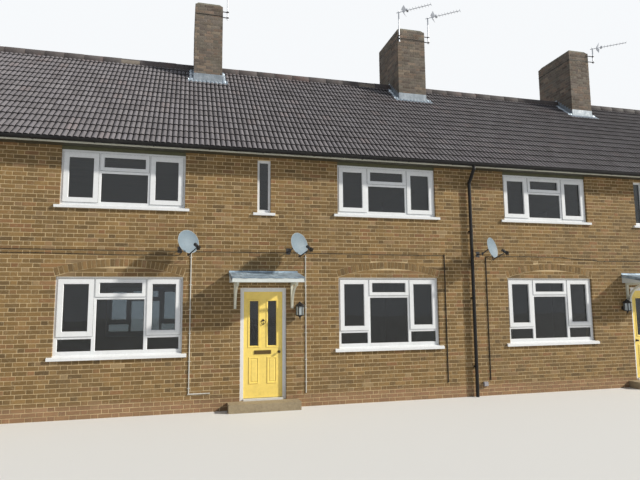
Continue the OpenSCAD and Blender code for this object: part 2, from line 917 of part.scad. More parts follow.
module front_door_2_glass() {
    color("darkslategray") at_front(-inner_door_x) leaf_glass();
}

module front_door_2_fittings() {
    color(black) at_front(-inner_door_x) {
        leaf_fittings(1);
        leaf_knuckles();
    }
}

module front_door_3() {
    color(yellow) at_front(inner_door_x) leaf(leaf_gap);
}

module front_door_3_glass() {
    color("darkslategray") at_front(inner_door_x) leaf_glass();
}

module front_door_3_fittings() {
    color(black) at_front(inner_door_x) mirror([1, 0, 0]) {
        leaf_fittings(1);
        leaf_knuckles();
    }
}

module outer_front_doors() {
    color(yellow) for (x = fixed_door_xs) at_front(x) leaf(0);
}

module back_doors() {
    color(white) for (x = door_xs) at_rear(x) leaf(0);
}

module fixed_door_glass() {
    color("darkslategray") {
        for (x = fixed_door_xs) at_front(x) leaf_glass();
        for (x = door_xs) at_rear(x) leaf_glass();
    }
}

module fixed_door_fittings() {
    color(black) {
        for (x = fixed_door_xs) at_front(x) mirror([x > 0 ? 1 : 0, 0, 0]) leaf_fittings(1);
        for (x = door_xs) at_rear(x) mirror([x > 0 ? 1 : 0, 0, 0]) leaf_fittings(1);
    }
}

module door_steps() {
    color("darkgray") both_walls(door_xs) block(-step_w / 2, step_w / 2, -step_reach, 0, 0, step_h);
}

// Canopies, drawn with the wall face at y = 0 and the doorway's middle at x = 0

canopy_top_z = canopy_z + canopy_board_h;
soffit_up = 15;
canopy_soffit_z = canopy_z + soffit_up;

module canopies() {
    board_t = 22;
    color(white) for (x = door_xs) at_front(x) run_x(-canopy_w / 2, canopy_w / 2, [
        [0, canopy_soffit_z], [-canopy_reach + board_t, canopy_soffit_z],
        [-canopy_reach + board_t, canopy_z], [-canopy_reach, canopy_z],
        [-canopy_reach, canopy_top_z], [0, canopy_top_z + canopy_rise]]);
}

// Lead over the canopy, turned down at the front and the ends and up at the wall
module canopy_leads() {
    drip = 28;
    upstand = 60;
    cheek = 62;
    slope = canopy_rise / canopy_reach;
    half_w = canopy_w / 2;
    color(lead) for (x = door_xs) at_front(x) {
        run_x(-half_w - lead_t, half_w + lead_t, [
            [0, canopy_top_z + canopy_rise], [-canopy_reach, canopy_top_z],
            [-canopy_reach, canopy_top_z - drip], [-canopy_reach - lead_t, canopy_top_z - drip],
            [-canopy_reach - lead_t, canopy_top_z + lead_t],
            [-lead_t, canopy_top_z + canopy_rise + lead_t - slope * lead_t],
            [-lead_t, canopy_top_z + canopy_rise + upstand], [0, canopy_top_z + canopy_rise + upstand]]);
        for (x0 = [-half_w - lead_t, half_w]) run_x(x0, x0 + lead_t, [
            [0, canopy_top_z + canopy_rise], [-canopy_reach, canopy_top_z],
            [-canopy_reach, canopy_top_z - cheek], [0, canopy_top_z + canopy_rise - cheek]]);
    }
}

// Gallows bracket: wall post, arm and a brace on a quarter circle
module gallows_bracket() {
    brace_w = 42;
    brace_lap = 12;
    brace_in = 3;
    foot = canopy_soffit_z - bracket_h;
    arm_z = canopy_soffit_z - bracket_t;
    brace_top = arm_z + brace_lap;
    brace_r = bracket_reach - bracket_t + brace_lap;
    block(-bracket_t / 2, bracket_t / 2, -bracket_t, 0, foot, canopy_soffit_z);
    block(-bracket_t / 2, bracket_t / 2, -bracket_reach, 0, arm_z, canopy_soffit_z);
    intersection() {
        translate([-bracket_t / 2 + brace_in, -bracket_reach, brace_top - brace_r]) rotate([90, 0, 90])
            linear_extrude(bracket_t - 2 * brace_in) difference() {
                circle(r = brace_r, $fn = 128);
                circle(r = brace_r - brace_w, $fn = 128);
            }
        block(-bracket_t, bracket_t, -bracket_reach, -bracket_t + brace_lap, foot, brace_top);
    }
}

module canopy_brackets() {
    color("ivory") for (x = door_xs, s = sides) at_front(x + s * bracket_x) gallows_bracket();
}

// Lantern on a wall bracket: plate, arm, six-sided body with sunk panes, hood and finials
module lantern() {
    out = 120;
    body_r = 78;
    body_z = 1700;
    body_h = 185;
    body_in = body_r * cos(30);
    pane_w = 54;
    pane_in = 6;
    pane_rail = 14;
    hood_over = 20;
    hood_h = 62;
    crown_r = 16;
    finial_r = 18;
    arm_up = 60;
    arm_r = 10;
    arm_lap = 12;
    plate = [48, 14];
    base = [7, 42, 40];
    drop_r = 13;
    drop_z = 48;
    translate([0, 0, body_z + arm_up]) rotate([90, 0, 0]) {
        cylinder(r = plate[0], h = plate[1]);
        cylinder(r = arm_r, h = out - body_in + pane_in + arm_lap);
    }
    translate([0, -out, body_z]) {
        difference() {
            cylinder(r = body_r, h = body_h, $fn = 6);
            for (a = [30 : 60 : 330]) rotate(a)
                block(body_in - pane_in, body_r, -pane_w / 2, pane_w / 2, pane_rail, body_h - pane_rail);
        }
        translate([0, 0, body_h]) cylinder(r1 = body_r + hood_over, r2 = crown_r, h = hood_h);
        translate([0, 0, body_h + hood_h]) sphere(r = finial_r);
        translate([0, 0, -base[2]]) cylinder(r1 = base[0], r2 = base[1], h = base[2]);
        translate([0, 0, -drop_z]) sphere(r = drop_r);
    }
}

module wall_lanterns() {
    from_door = 674;
    color(black) for (s = sides) at_front(s * (inner_door_x - from_door)) lantern();
}

// Places of the dishes along the row: beside a party line, past a doorway and beside the middle party line
dish_xs = [-house_w - 430, -inner_door_x + 604, 260];

module dish_frame(x) {
    translate([x, -half_d - dish_out, dish_z]) rotate([0, 0, dish_turn]) rotate([-dish_tilt, 0, 0])
        children();
}

// Shallow cap of a sphere that faces -y of its own frame
module satellite_dishes() {
    color("lightgray") for (x = dish_xs) dish_frame(x) intersection() {
        translate([0, -dish_curve, 0]) difference() {
            sphere(r = dish_curve, $fn = 128);
            sphere(r = dish_curve - dish_t, $fn = 128);
        }
        rotate([90, 0, 0]) translate([0, 0, -dish_r]) cylinder(r = dish_r, h = 2 * dish_r);
    }
}

// A rod from point a to point b
module rod(a, b, r) {
    v = b - a;
    translate(a) rotate([0, acos(v[2] / norm(v)), atan2(v[1], v[0])]) cylinder(r = r, h = norm(v));
}

// A point of a dish's own frame, seen from the wall behind the dish's middle
function from_dish(p) = let(
    y = p[1] * cos(dish_tilt) + p[2] * sin(dish_tilt),
    z = p[2] * cos(dish_tilt) - p[1] * sin(dish_tilt))
    [p[0] * cos(dish_turn) - y * sin(dish_turn), p[0] * sin(dish_turn) + y * cos(dish_turn) - dish_out,
     dish_z + z];

// A short round bar level across a dish's frame, with its middle at p
module cross_bar(p, r, l) {
    translate(p) rotate([0, 0, dish_turn]) rotate([0, 90, 0]) cylinder(r = r, h = l, center = true);
}

// Wall plate, tube and stub mast behind the dish, then the feed arm with its receiver in front
module dish_brackets() {
    plate = [80, 6, 120];
    tube_r = 14;
    strut_r = 12;
    mast = [18, 60];
    side = -130;
    tube_out = 190;
    tube_z = dish_z - 110;
    clamp = [42, 45];
    arm_r = 8;
    bolt = [13, 30];
    bolt_drop = 20;
    feed = [290, 45];
    receiver_r = 26;
    receiver_l = 60;
    receiver_lap = 14;
    foot = [side, -plate[1], tube_z];
    elbow = [side, -tube_out, tube_z];
    clamp_end = from_dish([0, clamp[1] - arm_r, 0]);
    arm_top = from_dish([0, clamp[1] / 2, -clamp[0] + arm_r]);
    arm_low = from_dish([0, bolt[0], -dish_r - bolt_drop]);
    arm_end = from_dish([0, -feed[0], -dish_r + feed[1]]);
    receiver_foot = from_dish([0, -feed[0] - receiver_lap, -dish_r + feed[1] - receiver_lap]);
    receiver_end = from_dish([0, -feed[0] + receiver_l, -dish_r + feed[1] + receiver_l]);
    color(black) for (x = dish_xs) at_front(x) {
        block(side - plate[0] / 2, side + plate[0] / 2, -plate[1], 0, tube_z - plate[2] / 2,
            tube_z + plate[2] / 2);
        rod(foot, elbow, tube_r);
        translate(elbow - [0, 0, mast[1] / 2]) cylinder(r = mast[0], h = mast[1]);
        rod(elbow, clamp_end, strut_r);
        translate([0, -dish_out, dish_z]) rotate([0, 0, dish_turn]) rotate([-dish_tilt, 0, 0])
            rotate([-90, 0, 0]) cylinder(r = clamp[0], h = clamp[1]);
        rod(arm_top, arm_low, arm_r);
        cross_bar(arm_low, bolt[0], bolt[1]);
        rod(arm_low, arm_end, arm_r);
        rod(receiver_foot, receiver_end, receiver_r);
    }
}

// A lead clipped upright to the wall
module wall_lead(x, foot, top) {
    at_front(x) translate([0, -lead_r, foot]) cylinder(r = lead_r, h = top - foot);
}

// Leads that run down the wall below the dishes, and one that turns along it at its foot
module dish_leads() {
    lead_top = dish_z - 175;
    foot_z = 310;
    turn_z = 330;
    turn_l = 390;
    turn_past = 6;
    turn_grow = 1;
    turn_off = 2;
    turned_x = dish_xs[0] + 76;
    color(white) {
        wall_lead(turned_x, turn_z, lead_top);
        at_front(turned_x) translate([-lead_r - turn_past, -lead_r - turn_off, turn_z]) rotate([0, 90, 0])
            cylinder(r = lead_r + turn_grow, h = turn_l);
        wall_lead(dish_xs[1] + 210, 250, lead_top);
        wall_lead(dish_xs[2] + 50, foot_z, lead_top);
        wall_lead(-660, foot_z, dish_z - 120);
    }
}

// Aerials: [stack's middle, whether the mast stands in front of the stack and not beside it, its gap from
// that face, its place along the face from the near left or near right corner, its foot and head and the
// levels of its arms from the stack's top]
aerial_specs = [
    [-house_w, false, 125, 80, -290, 900, [-240, -90]],
    [0, true, 70, 18, -393, 490, [-306, -223]],
    [0, false, 145, 40, -293, 500, [-260, -105]],
    [house_w, false, 215, 30, -272, 230, [-240, -60]]];
strap_z = -255;
function mast_place(a) = a[1]
    ? [a[0] - stack_w(a[0]) / 2 + a[3], -stack_d / 2 - a[2], stack_top_z]
    : [a[0] + stack_w(a[0]) / 2 + a[2], -stack_d / 2 + a[3], stack_top_z];

// Mast with its arms and wall channel, drawn from the stack's top
module aerial_mast(foot, head, arm_zs, turn, reach) {
    arm_r = 11;
    clamp_grow = 9;
    clamp_h = 34;
    channel = [8, 50, 35];
    translate([0, 0, foot]) cylinder(r = mast_r, h = head - foot);
    for (z = arm_zs) translate([0, 0, z]) {
        translate([0, 0, -clamp_h / 2]) cylinder(r = mast_r + clamp_grow, h = clamp_h);
        rotate(turn) rotate([0, 90, 0]) cylinder(r = arm_r, h = reach - channel[0] / 2);
    }
    rotate(turn) block(reach - channel[0], reach, -channel[1] / 2, channel[1] / 2,
        arm_zs[0] - channel[2], arm_zs[1] + channel[2]);
}

// Boom with its rods, its dipole box and a reflector of two plates set in a V. The box is given as its two
// ends along the boom, half its width and half its height, a plate as its length, half width and half thickness
module aerial_head() {
    boom_back = 60;
    boom_l = 900;
    boom_r = 9;
    rod_r = 4;
    rod_l = 170;
    rods = 8;
    rods_from = 330;
    box = [215, 265, 65, 18];
    plate_x = 110;
    plate = [130, 120, 2];
    plate_turn = 58;
    translate([-boom_back, 0, 0]) rotate([0, 90, 0]) cylinder(r = boom_r, h = boom_l + boom_back);
    for (i = [0 : rods - 1]) translate([rods_from + i * (boom_l - rods_from - rod_r) / (rods - 1),
        -rod_l / 2, 0]) rotate([-90, 0, 0]) cylinder(r = rod_r, h = rod_l);
    block(box[0], box[1], -box[2], box[2], -box[3], box[3]);
    for (s = sides) translate([plate_x, 0, 0]) rotate([0, s * plate_turn, 0])
        block(0, plate[0], -plate[1], plate[1], -plate[2], plate[2]);
}

module aerials() {
    head_drop = 40;
    boom_turn = -40;
    strap = [5, 25];
    color("silver") {
        for (a = aerial_specs) translate(mast_place(a)) {
            aerial_mast(a[4], a[5], a[6], a[1] ? 90 : 180, a[2]);
            translate([0, 0, a[5] - head_drop]) rotate([0, 0, boom_turn]) aerial_head();
        }
        translate([0, 0, stack_top_z + strap_z - strap[1] / 2]) linear_extrude(strap[1]) difference() {
            stack_plan(strap[0]);
            stack_plan(0);
        }
    }
}

front_wall_left();
front_wall_middle();
front_wall_right();
front_wall_at_doors();
rear_wall();
party_walls();
end_walls();
ground_floors();
upper_floors();
wall_plates();
roof_front();
roof_rear();
ridge_tiles();
fascias();
soffits();
gutters();
downpipes();
chimneys();
chimney_caps();
lead_flashings();
aerials();
window_arches();
window_frames();
window_sashes();
window_glass();
window_sills();
window_heads();
door_posts();
door_heads();
door_thresholds();
door_hinges();
front_door_2();
front_door_2_glass();
front_door_2_fittings();
front_door_3();
front_door_3_glass();
front_door_3_fittings();
outer_front_doors();
back_doors();
fixed_door_glass();
fixed_door_fittings();
door_steps();
canopies();
canopy_leads();
canopy_brackets();
wall_lanterns();
satellite_dishes();
dish_brackets();
dish_leads();
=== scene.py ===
"""Looks of a two-storey brick house row, built on the fixed CAD frame.

The walls that CAD gives are the mortar, and every brick, roof tile, ridge tile and sheet of lead is laid on
them here. Each surface is worked out with numpy, as shells round whole arrays of bricks, a grid over two
parameters, or a profile carried along a path. A shape is a pair of points and faces. Units are metres in the
row's frame: X along the row, Y from front to rear, Z up.
"""

import json
import math

import bpy
import numpy as np
from mathutils import Matrix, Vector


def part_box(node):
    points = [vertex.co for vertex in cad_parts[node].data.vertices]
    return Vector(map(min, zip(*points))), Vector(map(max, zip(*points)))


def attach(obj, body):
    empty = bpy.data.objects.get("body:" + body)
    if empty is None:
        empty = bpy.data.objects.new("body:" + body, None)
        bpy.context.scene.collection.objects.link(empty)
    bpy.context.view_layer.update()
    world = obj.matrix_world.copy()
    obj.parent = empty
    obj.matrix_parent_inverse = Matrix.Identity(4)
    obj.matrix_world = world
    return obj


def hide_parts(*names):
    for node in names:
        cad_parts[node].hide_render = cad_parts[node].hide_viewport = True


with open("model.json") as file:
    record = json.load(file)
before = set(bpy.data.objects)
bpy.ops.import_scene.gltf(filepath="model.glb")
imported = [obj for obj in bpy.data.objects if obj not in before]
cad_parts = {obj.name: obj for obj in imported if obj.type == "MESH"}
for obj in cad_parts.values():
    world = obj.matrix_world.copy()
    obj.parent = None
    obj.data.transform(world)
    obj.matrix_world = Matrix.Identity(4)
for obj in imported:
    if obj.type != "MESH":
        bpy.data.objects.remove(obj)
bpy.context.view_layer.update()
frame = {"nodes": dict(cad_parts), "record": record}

# Sizes of the row

front_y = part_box("front_wall_middle")[0].y
row_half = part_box("rear_wall")[1].x
wall_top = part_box("rear_wall")[1].z
stack_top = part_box("chimneys")[1].z
stack_half_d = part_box("chimneys")[1].y
half_depth = -front_y
house_w = 5.44
course = 0.076
courses = round(wall_top / course)
door_xs = np.array([-9.884, -4.444, 4.444, 9.884])
window_xs = np.array([-7.0, -1.89, 1.89, 7.0])
window_w = 2.15
narrow_w = 0.265
door_w = 0.88
low_window = (0.988, 2.432)
high_window = (3.648, 4.788)
narrow_window = (3.62, 4.712)
doorway = (0.152, 2.23)
frame_back = 0.045
stacks = [(-house_w, 0.335), (0.0, 0.395), (house_w, 0.335)]
height_span = 10.0
row_span = 22.0

# Brickwork

bed_joint = 0.011
perpend = 0.010
stretcher = 0.228
header = 0.114
closer = 0.045
least_length = 0.02
brick_proud = 0.004
arch_proud = brick_proud + 0.001
skin_back = 0.001
opening_lap = 0.003
hand_error = (0.0011, 0.0009)
arris_range = (0.0018, 0.0045)
arris_fall = 0.6
face_error = (0.0006, 0.0003)
shell_points = 12
arch_half = window_w / 2
arch_rise = 0.168
arch_ring = 0.14
arch_gap = 0.012
arch_foot = low_window[1] + arch_gap
arch_joint = 0.008
arch_r = (arch_half**2 + arch_rise**2) / (2 * arch_rise)
arch_mid_z = arch_foot + arch_rise - arch_r
arch_turn = math.asin(arch_half / arch_r)
voussoir = 0.0768

# Roof

pitch = math.radians(40)
tan_pitch, sin_pitch, cos_pitch = math.tan(pitch), math.sin(pitch), math.cos(pitch)
eaves_reach = 0.3
eaves_z = 4.865
apex_z = eaves_z + (half_depth + eaves_reach) * tan_pitch
slope_l = (half_depth + eaves_reach) / cos_pitch
tile_rows = 16
gauge = slope_l / tile_rows
tiles_across = 112
tile_w = 2 * row_half / tiles_across
roll_h = 0.024
roll_w = 0.086
tile_lip = 0.020
tile_skin = 0.0025
tile_bed = 0.05
tile_error = (0.0016, 0.0007, 0.0012)
lock_drop = 0.0045
lip_drop = 0.004
lip_back = 0.012
lip_round = 0.0006
roof_t = 0.165
ridge_r = 0.135
ridge_rise = 0.045
ridge_mid_z = apex_z + ridge_rise - ridge_r

rng = np.random.default_rng(5)
finishes = {}


# Meshes


def put_object(name, data):
    """Puts a mesh, a camera or a lamp in the scene, at the origin and unturned."""
    made = bpy.data.objects.new(name, data)
    bpy.context.scene.collection.objects.link(made)
    return made


def put_mesh(name, shape, finish, body="row", smooth=False, tones=None):
    """Makes a piece from a shape and a finish's name; tones holds four numbers for each point."""
    mesh = bpy.data.meshes.new(name)
    points, faces = shape
    mesh.from_pydata(np.asarray(points, float).reshape(-1, 3).tolist(), [], [list(f) for f in faces])
    mesh.materials.append(finishes[finish])
    if smooth:
        mesh.polygons.foreach_set("use_smooth", np.ones(len(mesh.polygons), bool))
    if tones is not None:
        layer = mesh.attributes.new("tone", "FLOAT_COLOR", "POINT")
        layer.data.foreach_set("color", np.asarray(tones, np.float32).ravel())
    mesh.update()
    piece = put_object(name, mesh)
    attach(piece, body)
    return piece


def joined(shapes):
    """One shape from several, each face list moved on by the points before it."""
    points, faces, base = [], [], 0
    for p, f in shapes:
        p = np.asarray(p, float).reshape(-1, 3)
        points.append(p)
        faces += [[i + base for i in face] for face in (f.tolist() if isinstance(f, np.ndarray) else f)]
        base += len(p)
    return np.concatenate(points), faces


def placed(place, shape):
    """A shape with its points put through a function of places, such as a wall's."""
    return place(shape[0]), shape[1]


def grid_faces(rows, columns, close_columns=False):
    """Quads of a grid that is stored row by row."""
    last = columns if close_columns else columns - 1
    r, c = np.meshgrid(np.arange(rows - 1), np.arange(last), indexing="ij")
    r, c = r.ravel() * columns, c.ravel()
    after = (c + 1) % columns
    return np.stack([r + c, r + after, r + columns + after, r + columns + c], 1)


def repeated(faces, step, count):
    """The same faces for each of count copies, whose points follow each other step apart."""
    faces = np.asarray(faces)
    return (faces[None] + (np.arange(count) * step)[:, None, None]).reshape(-1, faces.shape[1])


def facing(origin, along, out):
    """Turns points given as along a wall, up and outwards into the row's frame."""
    axes = np.array([along, (0, 0, 1), out], float)
    return lambda p: np.asarray(p, float).reshape(-1, 3) @ axes + np.array(origin, float)


front = facing((0, front_y, 0), (1, 0, 0), (0, -1, 0))
rear = facing((0, -front_y, 0), (-1, 0, 0), (0, 1, 0))
right_end = facing((row_half, 0, 0), (0, 1, 0), (1, 0, 0))
left_end = facing((-row_half, 0, 0), (0, -1, 0), (-1, 0, 0))


def mitred_rings(rects, profile, closed=False):
    """Frames round rectangles given as u0, u1, v0, v1. Each profile point is an inset and a height; the four
    corners of every inset rectangle are joined to those of the next, and the last is closed on request."""
    rects, profile = np.asarray(rects, float), np.asarray(profile, float)
    inset, height = profile.T
    u0, u1, v0, v1 = (rects[:, None, i] for i in range(4))
    u = np.stack([u0 + inset, u1 - inset, u1 - inset, u0 + inset], 2)
    v = np.stack([v0 + inset, v0 + inset, v1 - inset, v1 - inset], 2)
    points = np.stack([u, v, np.broadcast_to(height[None, :, None], u.shape)], 3).reshape(-1, 3)
    step = 4 * len(profile)
    faces = repeated(grid_faces(len(profile), 4, True), step, len(rects))
    if closed:
        faces = np.concatenate([faces, repeated([np.arange(step - 4, step)], step, len(rects))])
    return points, faces


def swept_tube(path, radius, sides=8):
    """A round tube: at each point of the path a circle square to it, kept from twisting by carrying its first
    direction along; both ends are closed with one face."""
    path = np.asarray(path, float)
    ahead = np.gradient(path, axis=0)
    ahead /= np.linalg.norm(ahead, axis=1)[:, None]
    askew = (0.31, 0.17, 0.94)
    side = np.cross(ahead[0], askew)
    sides_at = []
    for t in ahead:
        side = side - (side @ t) * t
        side /= np.linalg.norm(side)
        sides_at.append(side)
    sides_at = np.array(sides_at)
    turn = (np.arange(sides) * 2 * math.pi / sides)[None, :, None]
    ring = np.cos(turn) * sides_at[:, None] + np.sin(turn) * np.cross(ahead, sides_at)[:, None]
    faces = grid_faces(len(path), sides, True).tolist()
    last = (len(path) - 1) * sides
    faces += [list(range(sides))[::-1], list(range(last, last + sides))]
    return (path[:, None] + radius * ring).reshape(-1, 3), faces


def turned_form(profile, sides, centre=(0, 0, 0)):
    """A lathe-turned form: each profile point is a radius and a height, turned about an upright axis."""
    profile = np.asarray(profile, float)
    turn = np.arange(sides) * 2 * math.pi / sides
    x, y = profile[:, :1] * np.cos(turn), profile[:, :1] * np.sin(turn)
    z = np.broadcast_to(profile[:, 1:], x.shape)
    return np.stack([x, y, z], 2).reshape(-1, 3) + np.array(centre), grid_faces(len(profile), sides, True)


def block(a, b):
    """A plain box between two opposite corners, as eight points and six faces."""
    x, y, z = np.meshgrid(*zip(np.minimum(a, b), np.maximum(a, b)), indexing="ij")
    faces = [(0, 1, 3, 2), (4, 6, 7, 5), (0, 4, 5, 1), (2, 3, 7, 6), (0, 2, 6, 4), (1, 5, 7, 3)]
    return np.stack([x.ravel(), y.ravel(), z.ravel()], 1), np.array(faces)


# Shader nodes


def put_in(tree, socket, value):
    """Links an output to a socket or sets a plain value; three colour numbers get an alpha of 1."""
    if isinstance(value, bpy.types.NodeSocket):
        tree.links.new(value, socket)
    else:
        socket.default_value = (*value, 1) if socket.type == "RGBA" else value


def node(tree, kind, inputs, **settings):
    """Adds a node with its settings and its inputs, and gives its outputs."""
    made = tree.nodes.new(kind)
    for key, value in settings.items():
        setattr(made, key, value)
    for key, value in inputs.items():
        put_in(tree, made.inputs[key], value)
    return made.outputs


def place_on_piece(tree, stretch=(1, 1, 1)):
    """The point's own place on its piece, each axis multiplied by the stretch."""
    where = node(tree, "ShaderNodeTexCoord", {})["Object"]
    return node(tree, "ShaderNodeMapping", {"Vector": where, "Scale": stretch})["Vector"]


def axis_of(tree, axis):
    """One coordinate of the point's place."""
    return node(tree, "ShaderNodeSeparateXYZ", {"Vector": place_on_piece(tree)})[axis]


def noise(tree, scale, detail, roughness=0.55, over=(1, 1, 1)):
    """Noise over the piece, stretched, or over another node's vector."""
    if isinstance(over, tuple):
        over = place_on_piece(tree, over)
    values = {"Vector": over, "Scale": scale, "Detail": detail, "Roughness": roughness}
    return node(tree, "ShaderNodeTexNoise", values)["Fac"]


def ramp(tree, value, stops):
    """Colours or greys between stops of (place, colour); a single number stands for a grey."""
    made = node(tree, "ShaderNodeValToRGB", {"Fac": value})["Color"]
    points = made.node.color_ramp.elements
    while len(points) < len(stops):
        points.new(0.5)
    for point, (place, colour) in zip(points, stops):
        point.position = place
        point.color = (*colour, 1) if isinstance(colour, tuple) else (colour, colour, colour, 1)
    return made


def blended(tree, share, a, b, way="MIX"):
    """Colour a with a share of colour b mixed or multiplied in."""
    return node(tree, "ShaderNodeMix", {0: share, 6: a, 7: b}, data_type="RGBA", blend_type=way)[2]


def reckon(tree, way, a, b):
    """Arithmetic on two numbers or outputs."""
    return node(tree, "ShaderNodeMath", {0: a, 1: b}, operation=way)[0]


def times(tree, a, b):
    return reckon(tree, "MULTIPLY", a, b)


def share_of(tree, axis, whole):
    """One coordinate of the point's place as a share of a whole length."""
    return reckon(tree, "DIVIDE", axis_of(tree, axis), whole)


def raised(tree, height, distance, strength):
    """A normal tilted as if the height stood out of the surface."""
    values = {"Height": height, "Distance": distance, "Strength": strength}
    return node(tree, "ShaderNodeBump", values)["Normal"]


def effect(name, inputs, outputs, build):
    """A shared effect as a node group. Inputs and outputs are (name, kind, value); build wires it."""
    group = bpy.data.node_groups.new(name, "ShaderNodeTree")
    for side, rows in (("INPUT", inputs), ("OUTPUT", outputs)):
        for label, kind, value in rows:
            socket = group.interface.new_socket(label, in_out=side, socket_type="NodeSocket" + kind)
            if value is not None:
                socket.default_value = value
    given = group.nodes.new("NodeGroupInput").outputs
    result = group.nodes.new("NodeGroupOutput").inputs
    for label, socket in build(group, given).items():
        group.links.new(socket, result[label])
    return group


def sized_place(tree, given, stretch=(1, 1, 1)):
    """The stretched place multiplied by the group's own size."""
    values = {0: place_on_piece(tree, stretch), 3: given["Size"]}
    return node(tree, "ShaderNodeVectorMath", values, operation="SCALE")[0]


def build_stains(tree, given):
    """Broad soft stains: two sizes of noise multiplied, sharpened, and used to mix the stain colour in."""
    where = sized_place(tree, given)
    both = times(tree, noise(tree, 1.0, 5.0, 0.6, where), noise(tree, 6.0, 4.0, 0.6, where))
    share = times(tree, ramp(tree, both, [(0.18, 0.0), (0.42, 1.0)]), given["Amount"])
    return {"Color": blended(tree, share, given["Color"], given["Stain"])}


def build_streaks(tree, given):
    """Marks of rain: noise stretched tall, so that it runs down the face."""
    lines = noise(tree, 1.0, 6.0, 0.65, sized_place(tree, given, (1, 1, 0.06)))
    share = times(tree, ramp(tree, lines, [(0.48, 0.0), (0.72, 1.0)]), given["Amount"])
    return {"Color": blended(tree, share, given["Color"], given["Stain"])}


def build_grain(tree, given):
    """Fine pits and grit: small noise with cell-like specks."""
    where = sized_place(tree, given)
    fine = noise(tree, 1.0, 6.0, 0.7, where)
    cells = node(tree, "ShaderNodeTexVoronoi", {"Vector": where, "Scale": 2.3})["Distance"]
    return {"Height": reckon(tree, "ADD", fine, times(tree, cells, 0.35)),
            "Fleck": ramp(tree, fine, [(0.35, 0.0), (0.65, 1.0)])}


grime = [("Color", "Color", (0.5, 0.5, 0.5, 1)), ("Stain", "Color", (0.1, 0.1, 0.1, 1)),
         ("Size", "Float", 1.0), ("Amount", "Float", 0.5)]
stains = effect("broad_stains", grime, [("Color", "Color", None)], build_stains)
streaks = effect("rain_streaks", grime, [("Color", "Color", None)], build_streaks)
grain = effect("fine_grain", [("Size", "Float", 60.0)],
               [("Height", "Float", None), ("Fleck", "Float", None)], build_grain)


def marked(tree, group, colour, stain, size, amount):
    """A colour with stains or streaks of a size and an amount."""
    values = {"Color": colour, "Stain": stain, "Size": size, "Amount": amount}
    return node(tree, "ShaderNodeGroup", values, node_tree=group)["Color"]


def gritty(tree, size):
    """Height and flecks of the shared fine grain at a size."""
    made = node(tree, "ShaderNodeGroup", {"Size": size}, node_tree=grain)
    return made["Height"], made["Fleck"]


def tone_of(tree):
    """The numbers that each brick or tile carries, as red, green and blue: two random ones, and on tiles a
    share of painted shade.
    """
    held = node(tree, "ShaderNodeAttribute", {}, attribute_name="tone")["Color"]
    return list(node(tree, "ShaderNodeSeparateColor", {"Color": held}))


def darker(colour, share):
    return tuple(share * c for c in colour)


# Finishes


def shade(tree, **values):
    """Sets or links inputs of the Principled shader; an underscore stands for a space."""
    for key, value in values.items():
        put_in(tree, tree.nodes["Principled BSDF"].inputs[key.replace("_", " ")], value)


def new_finish(name, **plain):
    """A material's node tree, with plain values on its shader's own sockets."""
    finishes[name] = bpy.data.materials.new(name)
    finishes[name].use_nodes = True
    shade(finishes[name].node_tree, **plain)
    return finishes[name].node_tree


def brick_finish(name, shades, foot, stain, stain_share):
    """Weathered brick: the shade comes from each brick's own number, lighter or darker by its second, then
    fired flecks, pale smears, a pinker tint near the ground, and broad stains."""
    tree = new_finish(name, Roughness=0.9, Specular_IOR_Level=0.25)
    fired, limed = (0.13, 0.085, 0.045), (0.42, 0.34, 0.22)
    pick, bright, _ = tone_of(tree)
    gain = ramp(tree, bright, [(0.0, 0.80), (1.0, 1.14)])
    colour = blended(tree, 1.0, ramp(tree, pick, shades), gain, "MULTIPLY")
    height, fleck = gritty(tree, 85.0)
    colour = blended(tree, times(tree, fleck, 0.30), colour, fired)
    smear = ramp(tree, noise(tree, 22.0, 4.0), [(0.55, 0.0), (0.8, 0.45)])
    colour = blended(tree, smear, colour, limed)
    low = ramp(tree, axis_of(tree, "Z"), [(0.17, 1.0), (0.29, 0.0)])
    colour = blended(tree, times(tree, low, 0.55), colour, foot)
    shade(tree, Base_Color=marked(tree, stains, colour, stain, 0.8, stain_share),
          Roughness=ramp(tree, fleck, [(0.0, 0.82), (1.0, 0.96)]), Normal=raised(tree, height, 0.0016, 0.7))


def gritty_finish(name, colour, stain, share=0.55, size=40.0, patch=3.0, flecks=(0.4, 0.62),
                  bump=(0.002, 0.7), rough=0.92, shine=0.25):
    """Stone, plaster or mortar: darker flecks of a share and a tone, broad stains and a sandy face."""
    tree = new_finish(name, Roughness=rough, Specular_IOR_Level=shine)
    height, fleck = gritty(tree, size)
    sandy = blended(tree, times(tree, fleck, flecks[0]), colour, darker(colour, flecks[1]))
    shade(tree, Base_Color=marked(tree, stains, sandy, stain, patch, share),
          Normal=raised(tree, height, *bump))


